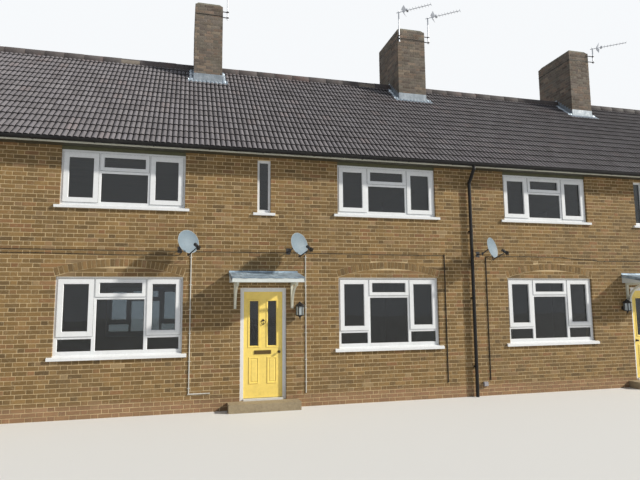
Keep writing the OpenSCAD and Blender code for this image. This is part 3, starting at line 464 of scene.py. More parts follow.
def tile_finish(name, shades, lichen_share):
    """Weathered concrete tile: one shade for each tile, grit on its face, redder patches near the ridge, pale
    bloom and dark streaks; then painted shade, darker towards the right end and black where its third
    number is high."""
    tree = new_finish(name, Roughness=0.75, Specular_IOR_Level=0.2)
    grit, rust, bloom = (0.30, 0.27, 0.26), (0.20, 0.10, 0.08), (0.22, 0.205, 0.208)
    lichen, shadow = (0.06, 0.055, 0.055), (0.008, 0.007, 0.007)
    pick, bright, third = tone_of(tree)
    gain = ramp(tree, bright, [(0.0, 0.88), (1.0, 1.12)])
    colour = blended(tree, 1.0, ramp(tree, pick, shades), gain, "MULTIPLY")
    height, fleck = gritty(tree, 70.0)
    colour = blended(tree, times(tree, fleck, 0.28), colour, grit)
    red = ramp(tree, noise(tree, 1.3, 5.0, 0.7), [(0.56, 0.0), (0.68, 1.0)])
    high = ramp(tree, share_of(tree, "Z", height_span), [(0.68, 0.0), (0.79, 0.4)])
    colour = blended(tree, times(tree, red, high), colour, rust)
    colour = marked(tree, stains, colour, bloom, 1.7, 0.3)
    colour = marked(tree, streaks, colour, lichen, 3.2, lichen_share)
    # Painted shade: the colour darkens towards the right end of the row.
    along = reckon(tree, "ADD", share_of(tree, "X", row_span), 0.5)
    colour = blended(tree, 1.0, colour, ramp(tree, along, [(0.2, 1.0), (0.8, 0.76)]), "MULTIPLY")
    # Painted shade: black at the lips, in the channels and on the shaded flanks, where the third number is
    # high.
    deep = ramp(tree, third, [(0.45, 0.0), (0.85, 0.96)])
    shade(tree, Base_Color=blended(tree, deep, colour, shadow),
          Roughness=ramp(tree, fleck, [(0.0, 0.62), (1.0, 0.85)]), Normal=raised(tree, height, 0.001, 0.6))


def lead_finish(name, dark, middle, pale, metallic, drip=False):
    """Weathered lead: blue grey with pale bloom, darker runs, and a soft uneven sheen; a canopy's hanging
    edge is painted slate grey for the shade that lies on it."""
    tree = new_finish(name, Metallic=metallic, Roughness=0.5)
    rain_grey, drip_shade = (0.12, 0.14, 0.17), (0.07, 0.09, 0.12)
    base = ramp(tree, noise(tree, 5.0, 5.0, 0.65), [(0.3, dark), (0.55, middle), (0.75, pale)])
    colour = marked(tree, streaks, base, rain_grey, 14.0, 0.5)
    dents = noise(tree, 26.0, 3.0)
    if drip:
        # Painted shade: below a set level, the canopy's hanging edge and the foot of its cheeks go towards
        # slate grey.
        low = ramp(tree, share_of(tree, "Z", height_span), [(0.2388, 1.0), (0.2399, 0.0)])
        low = times(tree, low, ramp(tree, dents, [(0.35, 0.95), (0.75, 0.45)]))
        colour = blended(tree, low, colour, drip_shade)
    shade(tree, Base_Color=colour, Roughness=ramp(tree, dents, [(0.3, 0.38), (0.7, 0.62)]),
          Normal=raised(tree, dents, 0.004, 0.5))


def worn_finish(name, colour, dirt, share, patch, film, rough, bump, runs=None, tint=None, **plain):
    """An even colour with patches of dirt, then runs of a size and a share. One film of noise gives the range
    of roughness and the bump, and darkens the colour first by the tint's share and tone."""
    tree = new_finish(name, **plain)
    marks = noise(tree, *film)
    if tint:
        colour = blended(tree, times(tree, marks, tint[0]), colour, darker(colour, tint[1]))
    colour = marked(tree, stains, colour, dirt, patch, share)
    if runs:
        colour = marked(tree, streaks, colour, dirt, *runs)
    shade(tree, Base_Color=colour, Roughness=ramp(tree, marks, [(0.3, rough[0]), (0.7, rough[1])]),
          Normal=raised(tree, marks, *bump))


def moulded_plastic(name, colour, dirt, share, rough, streak=0.3, shine=0.5):
    """Extruded plastic: faint dirt in soft patches and runs below the joints."""
    worn_finish(name, colour, dirt, share, 2.6, (40.0, 3.0), (rough - 0.06, rough + 0.1), (0.0004, 0.3),
                (30.0, share * streak), Roughness=rough, Specular_IOR_Level=shine)


def painted_wood(name, colour, worn, share):
    """Paint on timber: brush lines along the board, worn patches and runs of dirt."""
    worn_finish(name, colour, worn, share, 3.5, (1.0, 5.0, 0.55, (4, 60, 60)), (0.42, 0.66), (0.0009, 0.5),
                (20.0, share * 0.6), (0.22, 0.72), Roughness=0.55)


def grained_door(name, colour):
    """Moulded door skin: wood grain pressed in along its height, under even paint."""
    worn_finish(name, colour, darker(colour, 0.45), 0.25, 3.0, (1.0, 6.0, 0.6, (90, 90, 4)), (0.28, 0.46),
                (0.0007, 0.6), None, (0.3, 0.8), Roughness=0.36, Coat_Weight=0.25, Coat_Roughness=0.2)


def metal_finish(name, colour, worn, rough, metallic, share=0.35, size=8.0):
    """Painted or bare metal: worn spots and a finely uneven sheen."""
    worn_finish(name, colour, worn, share, size, (60.0, 4.0), (rough - 0.08, rough + 0.12), (0.0006, 0.4),
                Metallic=metallic, Roughness=rough)


def glass_finish(name, tint):
    """Sealed glazing: dark clear glass, its reflection a little uneven as in real float panes."""
    tree = new_finish(name, Base_Color=tint, Roughness=0.0, IOR=1.5, Transmission_Weight=1.0)
    shade(tree, Normal=raised(tree, noise(tree, 1.6, 2.0), 0.01, 0.12))


def timber_finish(name, dark, pale):
    """Sawn boards: noise drawn out along the row, between a dark and a pale tone."""
    tree = new_finish(name, Roughness=0.8)
    lines = noise(tree, 1.0, 6.0, 0.55, (3, 40, 40))
    shade(tree, Base_Color=ramp(tree, lines, [(0.3, dark), (0.7, pale)]),
          Normal=raised(tree, lines, 0.001, 0.5))


buff_shades = [(0.0, (0.15, 0.098, 0.045)), (0.12, (0.203, 0.128, 0.051)), (0.5, (0.245, 0.152, 0.060)),
               (0.82, (0.285, 0.18, 0.072)), (0.93, (0.265, 0.138, 0.064)), (1.0, (0.34, 0.24, 0.125))]
stack_shades = [(0.0, (0.11, 0.09, 0.08)), (0.2, (0.175, 0.15, 0.135)), (0.42, (0.215, 0.19, 0.165)),
                (0.6, (0.175, 0.165, 0.14)), (0.8, (0.24, 0.175, 0.14)), (1.0, (0.30, 0.25, 0.195))]
tile_shades = [(0.0, (0.140, 0.133, 0.146)), (0.5, (0.170, 0.163, 0.182)), (0.93, (0.194, 0.186, 0.202)),
               (1.0, (0.197, 0.170, 0.180))]
mortar = {"size": 130.0, "patch": 0.8, "flecks": (0.35, 0.7), "bump": (0.0012, 0.6), "rough": 0.95,
          "shine": 0.2}
brick_finish("buff_brick", buff_shades, (0.36, 0.21, 0.13), (0.13, 0.10, 0.06), 0.38)
brick_finish("stack_brick", stack_shades, (0.2, 0.14, 0.1), (0.09, 0.075, 0.055), 0.6)
gritty_finish("pale_mortar", (0.62, 0.48, 0.285), (0.38, 0.28, 0.16), 0.4, **mortar)
gritty_finish("stack_mortar", (0.29, 0.255, 0.215), (0.11, 0.095, 0.08), 0.6, **mortar)
gritty_finish("cap_mortar", (0.22, 0.21, 0.17), (0.12, 0.12, 0.08), 0.6, **mortar)
tile_finish("roof_tile", tile_shades, 0.35)
tile_finish("ridge_tile", [(0.0, (0.05, 0.045, 0.045)), (1.0, (0.095, 0.08, 0.08))], 0.5)
lead_finish("weathered_lead", (0.25, 0.30, 0.36), (0.42, 0.49, 0.56), (0.66, 0.70, 0.73), 0.55)
# A darker copy of the lead for the upright pieces: painted shade.
lead_finish("shaded_upright_lead", (0.16, 0.19, 0.22), (0.29, 0.33, 0.37), (0.46, 0.49, 0.51), 0.4)
lead_finish("canopy_lead", (0.15, 0.21, 0.28), (0.35, 0.46, 0.56), (0.66, 0.76, 0.83), 0.25, True)
moulded_plastic("white_plastic", (0.80, 0.82, 0.84), (0.42, 0.42, 0.38), 0.16, 0.3)
moulded_plastic("black_plastic", (0.008, 0.008, 0.009), (0.05, 0.047, 0.04), 0.3, 0.42, shine=0.25)
# Black rubber; on the sash rebates it also serves as painted shadow in the gap.
moulded_plastic("rubber_and_gap_shadow", (0.02, 0.02, 0.02), (0.06, 0.06, 0.05), 0.3, 0.6)
moulded_plastic("pale_sheath", (0.62, 0.61, 0.57), (0.30, 0.28, 0.22), 0.5, 0.5)
moulded_plastic("dark_sheath", (0.026, 0.022, 0.018), (0.07, 0.06, 0.045), 0.4, 0.55, shine=0.2)
moulded_plastic("pale_pane", (0.42, 0.47, 0.48), (0.16, 0.17, 0.16), 0.35, 0.22)
moulded_plastic("grey_plastic", (0.36, 0.35, 0.38), (0.18, 0.16, 0.14), 0.4, 0.45)
painted_wood("cream_paint", (0.70, 0.70, 0.60), (0.32, 0.32, 0.24), 0.35)
# The soffits take the dark of the shade under the eaves: painted shade.
painted_wood("soffit_painted_shade", (0.05, 0.047, 0.030), (0.03, 0.03, 0.02), 0.4)
painted_wood("white_board", (0.70, 0.75, 0.745), (0.40, 0.40, 0.34), 0.25)
painted_wood("olive_board", (0.105, 0.105, 0.055), (0.05, 0.055, 0.03), 0.5)
grained_door("yellow_door", (0.97, 0.735, 0.175))
grained_door("white_door", (0.78, 0.79, 0.80))
metal_finish("dark_iron", (0.035, 0.03, 0.026), (0.10, 0.06, 0.035), 0.42, 0.6)
metal_finish("hinge_steel", (0.55, 0.55, 0.54), (0.30, 0.28, 0.25), 0.35, 0.9)
metal_finish("worn_brass", (0.13, 0.085, 0.03), (0.06, 0.04, 0.02), 0.45, 0.6)
metal_finish("sill_metal", (0.74, 0.75, 0.74), (0.42, 0.40, 0.35), 0.4, 0.15, 0.25)
metal_finish("lantern_black", (0.018, 0.018, 0.02), (0.06, 0.055, 0.05), 0.38, 0.4)
metal_finish("dish_grey", (0.158, 0.218, 0.268), (0.115, 0.145, 0.165), 0.6, 0.0, 0.4, 5.0)
# The rim is paler than the dish, as a painted highlight on its rolled edge.
metal_finish("dish_rim", (0.34, 0.38, 0.40), (0.20, 0.21, 0.21), 0.5, 0.0)
metal_finish("bracket_dark", (0.04, 0.042, 0.048), (0.12, 0.10, 0.09), 0.5, 0.3)
metal_finish("aerial_alloy", (0.46, 0.48, 0.52), (0.20, 0.20, 0.20), 0.42, 0.8)
gritty_finish("step_stone", (0.375, 0.305, 0.20), (0.14, 0.11, 0.07))
gritty_finish("floor_stone", (0.36, 0.35, 0.33), (0.25, 0.24, 0.22))
gritty_finish("bare_plaster", (0.62, 0.58, 0.52), (0.50, 0.46, 0.41), size=90.0)
timber_finish("sawn_timber", (0.30, 0.19, 0.10), (0.55, 0.40, 0.24))
glass_finish("dark_glass", (0.30, 0.34, 0.36))

finish_of_slot = {
    "brick": "pale_mortar", "inner_masonry": "bare_plaster", "arch_brick": "pale_mortar",
    "stack_brick": "stack_mortar", "concrete": "floor_stone", "mortar": "cap_mortar", "timber": "sawn_timber",
    "painted_timber": "white_board", "head_board": "olive_board", "tile": "roof_tile",
    "lead": "weathered_lead", "gutter_black": "black_plastic", "white_frame": "white_plastic",
    "threshold_metal": "sill_metal", "door_yellow": "yellow_door", "door_white": "white_door",
    "glass": "dark_glass", "ironmongery": "dark_iron", "hinge_steel": "hinge_steel",
    "lantern_black": "lantern_black", "dish_grey": "dish_grey", "bracket_grey": "bracket_dark",
    "lead_sheath": "pale_sheath", "aerial_alloy": "aerial_alloy",
}
finish_of_node = {"ridge_tiles": "stack_mortar", "door_steps": "step_stone", "canopy_brackets": "cream_paint",
                  "soffits": "soffit_painted_shade", "fascias": "cream_paint"}


def finish_cad_nodes():
    """Gives each CAD node its finish, by its own name or else by its slot in the record."""
    for part in frame["record"]["subparts"]:
        finish = finish_of_node.get(part["node"], finish_of_slot[part["material_slot"]])
        materials = frame["nodes"][part["node"]].data.materials
        materials.clear()
        materials.append(finishes[finish])


# Bricks


def perpends(row, low, high):
    """Flemish bond: a stretcher and a header in turn, each course moved on by half of their repeat."""
    repeat = stretcher + header
    n = np.arange(math.floor(low / repeat) - 2, math.ceil(high / repeat) + 3)
    middles = n * repeat + (row % 2) * repeat / 2
    cuts = np.sort(np.concatenate([middles - stretcher / 2, middles + stretcher / 2]))
    return cuts[(cuts > low + closer) & (cuts < high - closer)]


def bricks_between(row, left, right, z0, z1, backs):
    """Bricks of a course between two ends, each end given by its place at z0 and at z1. A brick is a row of
    left foot, left head, right foot, right head, z0, z1 and depth in the wall; backs are the ends' depths."""
    if min(right) - max(left) < least_length:
        return np.zeros((0, 7))
    cuts = perpends(row, max(left), min(right))
    lefts = np.concatenate([[left], np.repeat(cuts[:, None] + perpend / 2, 2, 1)])
    rights = np.concatenate([np.repeat(cuts[:, None] - perpend / 2, 2, 1), [right]])
    back = np.full(len(lefts), skin_back)
    back[0], back[-1] = max(back[0], backs[0]), max(back[-1], backs[1])
    levels = np.broadcast_to([z0, z1], (len(lefts), 2))
    return np.column_stack([lefts, rights, levels, back])


def arch_reach(z, radius):
    """Half the width of a circle about the arch's centre at level z."""
    return math.sqrt(max(radius**2 - (z - arch_mid_z) ** 2, 0))


def arch_gaps(middle, z0, z1):
    """What an arch ring takes out of a course: two slanted gaps with brickwork between, or one where it is
    closed. The ring's outside is the outer circle, or the radial line of its foot where that is nearer."""
    inner, outer = arch_r, arch_r + arch_ring
    if z1 < arch_foot or z0 > arch_mid_z + outer - least_length:
        return []
    levels = (max(z0, arch_foot), min(z1, arch_mid_z + outer))
    out = [min(arch_reach(z, outer), math.tan(arch_turn) * (z - arch_mid_z)) + arch_joint for z in levels]
    outer_left, outer_right = tuple(middle - o for o in out), tuple(middle + o for o in out)
    if z1 > arch_mid_z + inner - least_length:
        return [(outer_left, outer_right)]
    within = [arch_reach(z, inner) - arch_joint for z in levels]
    return [(outer_left, tuple(middle - w for w in within)), (tuple(middle + w for w in within), outer_right)]


def lay_courses(first, last, ends, end_backs, holes=(), arches=()):
    """Lays the courses of a wall. ends(z) gives its two ends at a level, end_backs(row) the depth of the
    corner bricks, holes are u0, u1, z0, z1, and arches the middles of arch rings. Bricks over and under a
    hole are cut along its edge, and those across the crown of an arch stand on it."""
    laid = []
    for row in range(first, last):
        z0, z1 = row * course + bed_joint / 2, (row + 1) * course - bed_joint / 2
        (left0, right0), (left1, right1) = ends(z0), ends(z1)
        gaps = [((a + opening_lap,) * 2, (b - opening_lap,) * 2, frame_back) for a, b, c, d in holes
                if c < (z0 + z1) / 2 < d]
        gaps += [(*gap, 0.0) for m in arches for gap in arch_gaps(m, z0, z1)]
        gaps.sort(key=lambda gap: gap[0][0])
        start, back = (left0, left1), end_backs(row)
        for gap_left, gap_right, depth in gaps:
            laid.append(bricks_between(row, start, gap_left, z0, z1, (back, depth)))
            start, back = gap_right, depth
        laid.append(bricks_between(row, start, (right0, right1), z0, z1, (back, end_backs(row))))
    laid = np.concatenate(laid)
    head_joint, foot_joint, overlap = 0.004, -0.002, 0.01
    for a, b, c, d in holes:
        over = (laid[:, 0] < b - overlap) & (laid[:, 2] > a + overlap)
        middle = laid[:, 4:6].mean(1)
        laid[over & (middle > d) & (laid[:, 4] < d), 4] = d + head_joint
        laid[over & (middle < c) & (laid[:, 5] > c), 5] = c + foot_joint
    crown, crown_half, crown_joint = arch_mid_z + arch_r + arch_ring, 0.45, 0.006
    for m in arches:
        near = (np.abs(laid[:, :4].mean(1) - m) < crown_half) & (laid[:, 4] < crown) & (laid[:, 5] > crown)
        laid[near, 4] = crown + crown_joint
    return laid


def lay_row(row, edge, back=skin_back):
    """One course from -edge to edge without openings."""
    return lay_courses(row, row + 1, lambda z: (-edge, edge), lambda r: back)


def voussoirs():
    """Every arch ring as headers on edge: wedges of equal angle between the two circles."""
    middle_r = arch_r + arch_ring / 2
    turns = np.linspace(-arch_turn, arch_turn, round(2 * arch_turn * middle_r / voussoir) + 1)
    half_joint, ring_joint = 0.005 / middle_r, 0.004
    a, b = turns[:-1] + half_joint, turns[1:] - half_joint
    low, high = arch_r + ring_joint, arch_r + arch_ring - ring_joint
    r, turns = np.array([low, low, high, high]), np.stack([a, b, b, a], 1)
    u = window_xs[:, None, None] + r * np.sin(turns)
    v = np.broadcast_to(r * np.cos(turns) + arch_mid_z, u.shape)
    return u.reshape(-1, 4), v.reshape(-1, 4)


def brick_corners(laid):
    """Corner places of laid bricks, in turn round each face, with small errors of hand and kiln."""
    u = laid[:, [0, 2, 3, 1]] + rng.normal(0, hand_error[0], (len(laid), 4))
    v = laid[:, [4, 4, 5, 5]] + rng.normal(0, hand_error[1], (len(laid), 4))
    return u, v, laid[:, 6]


def brick_shells(u, v, back, proud=brick_proud):
    """Each brick is three rings of four points: its rim at the depth in the wall, the rim of the face less
    the worn arris, and the face drawn in by the arris. Quads join ring to ring and close the face."""
    n = len(u)
    arris = rng.uniform(*arris_range, (n, 1))
    face = proud + rng.normal(0, face_error[0], (n, 1)) + rng.normal(0, face_error[1], (n, 4))
    deep = np.repeat(-np.asarray(back, float).reshape(-1, 1), 4, 1)
    drawn_u, drawn_v = u + np.array([1, -1, -1, 1]) * arris, v + np.array([1, 1, -1, -1]) * arris
    rings = [(u, v, deep), (u, v, face - arris_fall * arris), (drawn_u, drawn_v, face)]
    points = np.stack([np.stack(ring, 2) for ring in rings], 1)
    faces = np.concatenate([grid_faces(3, 4, True), [[8, 9, 10, 11]]])
    return points.reshape(-1, 3), repeated(faces, shell_points, n)


def brick_tones(n):
    """Two random numbers for each brick, the same at all its points."""
    numbers = np.column_stack([rng.random(n), rng.random(n), np.zeros(n), np.ones(n)])
    return np.repeat(numbers, shell_points, 0)


def put_bricks(name, place, laid, finish):
    """One piece of brickwork on a wall's face, each brick a shell with its own tone."""
    u, v, back = brick_corners(laid)
    shape = placed(place, brick_shells(u, v, back))
    put_mesh(name, shape, finish, tones=brick_tones(len(u)))


def wall_holes():
    """Openings of a long wall, which are the same seen from the front and from the rear."""
    kinds = [(window_xs, window_w, (low_window, high_window)), (door_xs, narrow_w, (narrow_window,)),
             (door_xs, door_w, (doorway,))]
    return [(x - w / 2, x + w / 2, *levels) for xs, w, heights in kinds for x in xs for levels in heights]


def corner_depth(row):
    """The long wall's corner brick goes back as a header or a stretcher by turns."""
    return (header if row % 2 else stretcher) - perpend


def roof_z(y, depth=0.0):
    """Level of the roof at a distance from the row's middle line, less a depth square to the slope."""
    return apex_z - depth / cos_pitch - np.abs(y) * tan_pitch


def lay_long_walls():
    """Front and rear: one piece of courses for each house and one of every arch ring."""
    reach = row_half + brick_proud
    laid = lay_courses(0, courses, lambda z: (-reach, reach), corner_depth, wall_holes(), window_xs)
    middles = laid[:, :4].mean(1)
    u, v = voussoirs()
    for label, place in (("front", front), ("rear", rear)):
        for i in range(4):
            low = (i - 2) * house_w if i else -math.inf
            high = (i - 1) * house_w if i < 3 else math.inf
            ours = laid[(middles >= low) & (middles < high)]
            put_bricks(f"{label}_bricks_{i + 1}", place, ours, "buff_brick")
        shape = brick_shells(u, v, np.full(len(u), skin_back), arch_proud)
        put_mesh(f"{label}_arch_bricks", placed(place, shape), "buff_brick",
                 tones=brick_tones(len(u)))


def gable_ends(z):
    """The two ends of a gable's course, where the slope less the tiles' bed passes its level."""
    reach = min((apex_z - tile_bed / cos_pitch - z) / tan_pitch, half_depth)
    return -reach, reach


def lay_end_walls():
    """Gable ends: the courses between the long walls' corner bricks, then shortened by the roof's slope."""
    under_ridge = 0.12
    top = int((apex_z - under_ridge) / course)
    for label, place in (("left_end", left_end), ("right_end", right_end)):
        laid = [lay_row(row, half_depth - corner_depth(row) - perpend) for row in range(courses)]
        laid.append(lay_courses(courses, top, gable_ends, lambda row: skin_back))
        put_bricks(f"{label}_bricks", place, np.concatenate(laid), "buff_brick")


def lay_gable_mortar():
    """A thin skin of mortar over each roof slab's end, so that the gable's joints match to the verge."""
    parts = []
    foot_y, proud = half_depth - 0.001, 0.0008
    for place in (left_end, right_end):
        for side in (-1, 1):
            corners = [(y * side, roof_z(y, depth), proud) for y, depth in
                       ((0, roof_t), (foot_y, roof_t), (foot_y, tile_bed), (0, tile_bed))]
            parts.append((place(corners), [[0, 1, 2, 3][::side]]))
    put_mesh("gable_mortar", joined(parts), "pale_mortar")


def stack_faces(x, half_w):
    """The four faces of a stack: its place, half its length, and whether it owns the corners."""
    for way in (-1, 1):
        yield facing((x, way * stack_half_d, 0), (-way, 0, 0), (0, way, 0)), half_w, True
    for way in (1, -1):
        yield facing((x + way * half_w, 0, 0), (0, way, 0), (way, 0, 0)), stack_half_d, False


def lay_stacks():
    """Each stack: courses round its four faces, from a little below the roof's line up to the cap."""
    below_roof, least_shown = 0.15, 0.05
    first = int((roof_z(stack_half_d) - below_roof) / course)
    last = round(stack_top / course)
    for i, (x, half_w) in enumerate(stacks):
        parts, tones = [], []
        for place, half, owns in stack_faces(x, half_w):
            laid = np.concatenate([
                lay_row(row, half + brick_proud, corner_depth(row)) if owns
                else lay_row(row, half - corner_depth(row) - perpend) for row in range(first, last)])
            level = roof_z(stack_half_d if owns else laid[:, :4].mean(1))
            laid = laid[laid[:, 5] > level - least_shown]
            laid[:, 5] = np.minimum(laid[:, 5], stack_top)
            u, v, back = brick_corners(laid)
            parts.append(placed(place, brick_shells(u, v, back)))
            tones.append(brick_tones(len(u)))
        put_mesh(f"stack_bricks_{i + 1}", joined(parts), "stack_brick",
                 tones=np.concatenate(tones))


# Roof


def roll_height(x):
    """A tile's section along the row: two broad flattened rolls with a flat channel beside each."""
    across = np.mod(np.asarray(x) + row_half, tile_w / 2) - tile_w / 4
    return roll_h * np.clip(1 - np.abs(2 * across / roll_w) ** 5, 0, 1)


def on_slope(x, s, depth, side):
    """A point of a roof slope: x along the row, s up from the lower edge, depth square below the rolls."""
    y = -(half_depth + eaves_reach) + s * cos_pitch + depth * sin_pitch
    return np.stack(np.broadcast_arrays(x, -side * y, eaves_z + s * sin_pitch - depth * cos_pitch), -1)


def tile_columns():
    """Places across one tile: the points of its two rolls, with a sunk point at each side for the lock."""
    bends = np.array([-1, -0.96, -0.83, 0, 0.83, 0.96, 1]) * roll_w / 2
    lock = np.array([0.0008, 0.0022])
    return np.concatenate([lock, bends + tile_w / 4, bends + 3 * tile_w / 4, tile_w - lock[::-1]])


def lay_tiles(name, side):
    """Every tile is a small grid: its section across, and up the slope the foot of its lip, the lip's rounded
    edge and the head. side is -1 for the front slope and 1 for the rear. The third number of a tone is
    painted shade: high at the lip, in the channels and on the flank of each roll that is away from the sun."""
    head_lap, stack_lap = 0.004, 0.14
    flank, flank_shade, face_shade, channel_h = 0.4 * roll_w, 0.78, 0.45, 0.45 * roll_h
    across = tile_columns()
    sunk = np.zeros(len(across))
    sunk[[0, -1]] = lock_drop
    rows, columns = np.meshgrid(np.arange(tile_rows), np.arange(tiles_across), indexing="ij")
    rows, columns = rows.ravel()[:, None], columns.ravel()[:, None]
    x = -row_half + columns * tile_w + across
    h = roll_height(x)
    n, m = x.shape
    shift, lift, tilt = (rng.normal(0, error, (n, 1)) for error in tile_error)
    tilt = tilt * (across / tile_w - 0.5)
    foot = np.where(rows == 0, 0.0, rows * gauge + shift)
    top = roll_h - h - tile_skin + sunk - lift + tilt
    under = np.where(rows == 0, tile_bed, roll_h + tile_lip - h)
    head_s = (rows + 1) * gauge + head_lap
    rings = [(foot, under), (foot, top + lip_drop), (foot + lip_back, top + lip_round),
             (head_s, top + tile_lip)]
    points = np.stack([on_slope(x, s, depth, side) for s, depth in rings], 1)
    middle = on_slope(x.mean(1), (rows[:, 0] + 0.5) * gauge, 0.0, side)
    shown = np.ones(n, bool)
    for stack_x, half_w in stacks:
        shown &= ((np.abs(middle[:, 0] - stack_x) >= half_w - tile_w / 2)
                  | (np.abs(middle[:, 1]) >= stack_half_d - stack_lap))
    points, h = points[shown], h[shown]
    faces = repeated(grid_faces(4, m), 4 * m, len(points))
    numbers = rng.random((len(points), 2))
    # Painted shade on the roll flank away from the sun, in the channels and at the lip.
    shaded_flank = np.mod(across, tile_w / 2) - tile_w / 4 < -flank
    painted_shade = np.maximum(np.clip(1 - h / channel_h, 0, 1), np.where(shaded_flank, flank_shade, 0))
    tones = np.ones((len(points), 4, m, 4))
    tones[..., :2] = numbers[:, None, None]
    tones[:, 2, :, 2], tones[:, 3, :, 2] = painted_shade, np.maximum(painted_shade, face_shade)
    put_mesh(name, (points, faces[:, ::-1] if side > 0 else faces), "roof_tile", tones=tones)


def lay_ridge():
    """Half-round caps butted end to end between the row's ends and the stacks: an arc over the ridge carried
    along it, with a small turned-down edge at each end so that the bedding shows between them."""
    wrap, cap_l, stack_gap, lift_error, skew_error = 106, 0.45, 0.006, 0.0015, 0.002
    turn = np.radians(np.linspace(-wrap, wrap, 25))
    ends = np.array([0.003, 0.003, 0.006])
    bulge = np.array([-0.002, 0.0032, 0.005, 0.005, 0.0032, -0.002])
    edges = [-row_half, *(x + s * (half_w + stack_gap) for x, half_w in stacks for s in (-1, 1)), row_half]
    parts, tones = [], []
    for low, high in zip(edges[::2], edges[1::2]):
        count = max(round((high - low) / cap_l), 1)
        length = (high - low) / count
        for i in range(count):
            lift, skew = rng.normal(0, lift_error), rng.normal(0, skew_error)
            x = low + i * length + np.concatenate([ends, length - ends[::-1]])
            r = ridge_r + bulge + lift
            y = np.sin(turn)[None] * r[:, None] + skew
            z = ridge_mid_z + np.cos(turn)[None] * r[:, None]
            points = np.stack([np.broadcast_to(x[:, None], y.shape), y, z], 2)
            parts.append((points, grid_faces(len(x), len(turn))[:, ::-1]))
            tones.append(np.tile([rng.random(), rng.random(), 0, 1], (y.size, 1)))
    put_mesh("ridge_caps", joined(parts), "ridge_tile", smooth=True, tones=np.concatenate(tones))


def dressed_lead(x0, x1, s0, s1, side, columns=110, rows=9):
    """Lead beaten down over the tiles: their own surface, averaged over a small spread so that it bridges the
    channels, with crossed sine waves as dents and its lower edge turned down."""
    spread, above, dent, turned_down = 0.012, 0.006, 0.0012, 0.009
    x, s = np.meshgrid(np.linspace(x0, x1, columns), np.linspace(s0, s1, rows))
    soft = 0.5 * roll_height(x) + 0.25 * (roll_height(x - spread) + roll_height(x + spread))
    depth = roll_h + tile_lip * np.mod(s / gauge, 1.0) - soft - tile_skin - above
    depth += dent * np.sin(37 * x + 11 * s) * np.sin(23 * s)
    skirt = on_slope(x[:1], s[:1], depth[:1] + turned_down, side)
    points = np.concatenate([skirt, on_slope(x, s, depth, side)])
    faces = grid_faces(rows + 1, columns)
    return points, faces[:, ::-1] if side > 0 else faces


def stepped_flashing(x, half_w, way):
    """Stepped lead up a stack's side: for each bed joint a plate from the roof's line up to the joint, where
    its foot is between 65 mm and a course more below it."""
    parts = []
    cover, lap, past_face, sunk = 0.065, 0.012, 0.002, 0.03
    inner, outer = brick_proud - 0.0025, brick_proud + 0.0045
    place = facing((x + way * half_w, 0, 0), (0, way, 0), (way, 0, 0))
    quads = np.array([[3, 2, 1, 0], [3, 7, 6, 2], [2, 6, 5, 1], [1, 5, 4, 0], [0, 4, 7, 3]])
    for row in range(int(roof_z(stack_half_d) / course), int(apex_z / course) + 3):
        z = row * course + bed_joint / 2
        near = max((apex_z - z + cover) / tan_pitch, 0.0)
        far = min((apex_z - z + cover + course) / tan_pitch + lap, stack_half_d + past_face)
        if far <= near:
            continue
        level = np.array([z, z, roof_z(far) - sunk, roof_z(near) - sunk])
        for side in (-1, 1):
            y = np.array([near, far, far, near]) * side
            points = np.concatenate([np.column_stack([y, level, np.full(4, out)]) for out in (outer, inner)])
            parts.append((place(points), quads[:, ::side]))
    return joined(parts)


def lay_flashings():
    """Aprons in front and behind, soakers beside, upstands at the front and rear, steps up the sides."""
    parts, upright = [], []
    side_w, apron, apron_lap, soaker_w, soaker_lap = 0.14, 0.17, 0.02, 0.11, 0.01
    near_gap, ridge_gap, upstand, below, sunk, lead_t = 0.004, 0.06, 0.150, 0.04, 0.002, 0.003
    near_s = slope_l - (stack_half_d + near_gap) / cos_pitch
    foot = roof_z(stack_half_d)
    for x, half_w in stacks:
        for side in (-1, 1):
            reach = half_w + side_w
            parts.append(dressed_lead(x - reach, x + reach, near_s - apron, near_s + apron_lap, side))
            for way in (-1, 1):
                edges = sorted((x + way * (half_w - soaker_lap), x + way * (half_w + soaker_w)))
                parts.append(dressed_lead(*edges, near_s, slope_l - ridge_gap, side, 16, 40))
            wrap, out = half_w + brick_proud + lead_t, stack_half_d + brick_proud + lead_t
            upright.append(block((x - wrap, side * (stack_half_d - sunk), foot - below),
                                 (x + wrap, side * out, foot + upstand)))
        upright += [stepped_flashing(x, half_w, way) for way in (-1, 1)]
    # The upstands and stepped flashings take the darker lead, as painted shade.
    put_mesh("stack_upstands", joined(upright), "shaded_upright_lead")
    piece = put_mesh("stack_leads", joined(parts), "weathered_lead")
    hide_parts("lead_flashings")


def lay_verges():
    """Mortar bedding that closes the tiles' open side at each end of the row, stepped with the courses."""
    parts = []
    top, foot, proud = roll_h - tile_skin, 0.054, 0.0004
    s = (np.arange(tile_rows)[:, None] + np.array([0.0, 1.0, 1.0, 0.0])) * gauge
    faces = np.arange(4 * tile_rows).reshape(-1, 4)
    for side in (-1, 1):
        for way in (-1, 1):
            depth = np.broadcast_to([top, top + tile_lip, foot, foot], s.shape)
            points = on_slope(way * (row_half + proud), s, depth, side)
            parts.append((points, faces[:, ::-side * way]))
    put_mesh("verge_bedding", joined(parts), "stack_mortar")


# Windows, doors and fittings


def on_both_walls(shapes):
    """The same shapes on the front wall and on the rear wall."""
    shape = joined(shapes)
    return joined([placed(front, shape), placed(rear, shape)])


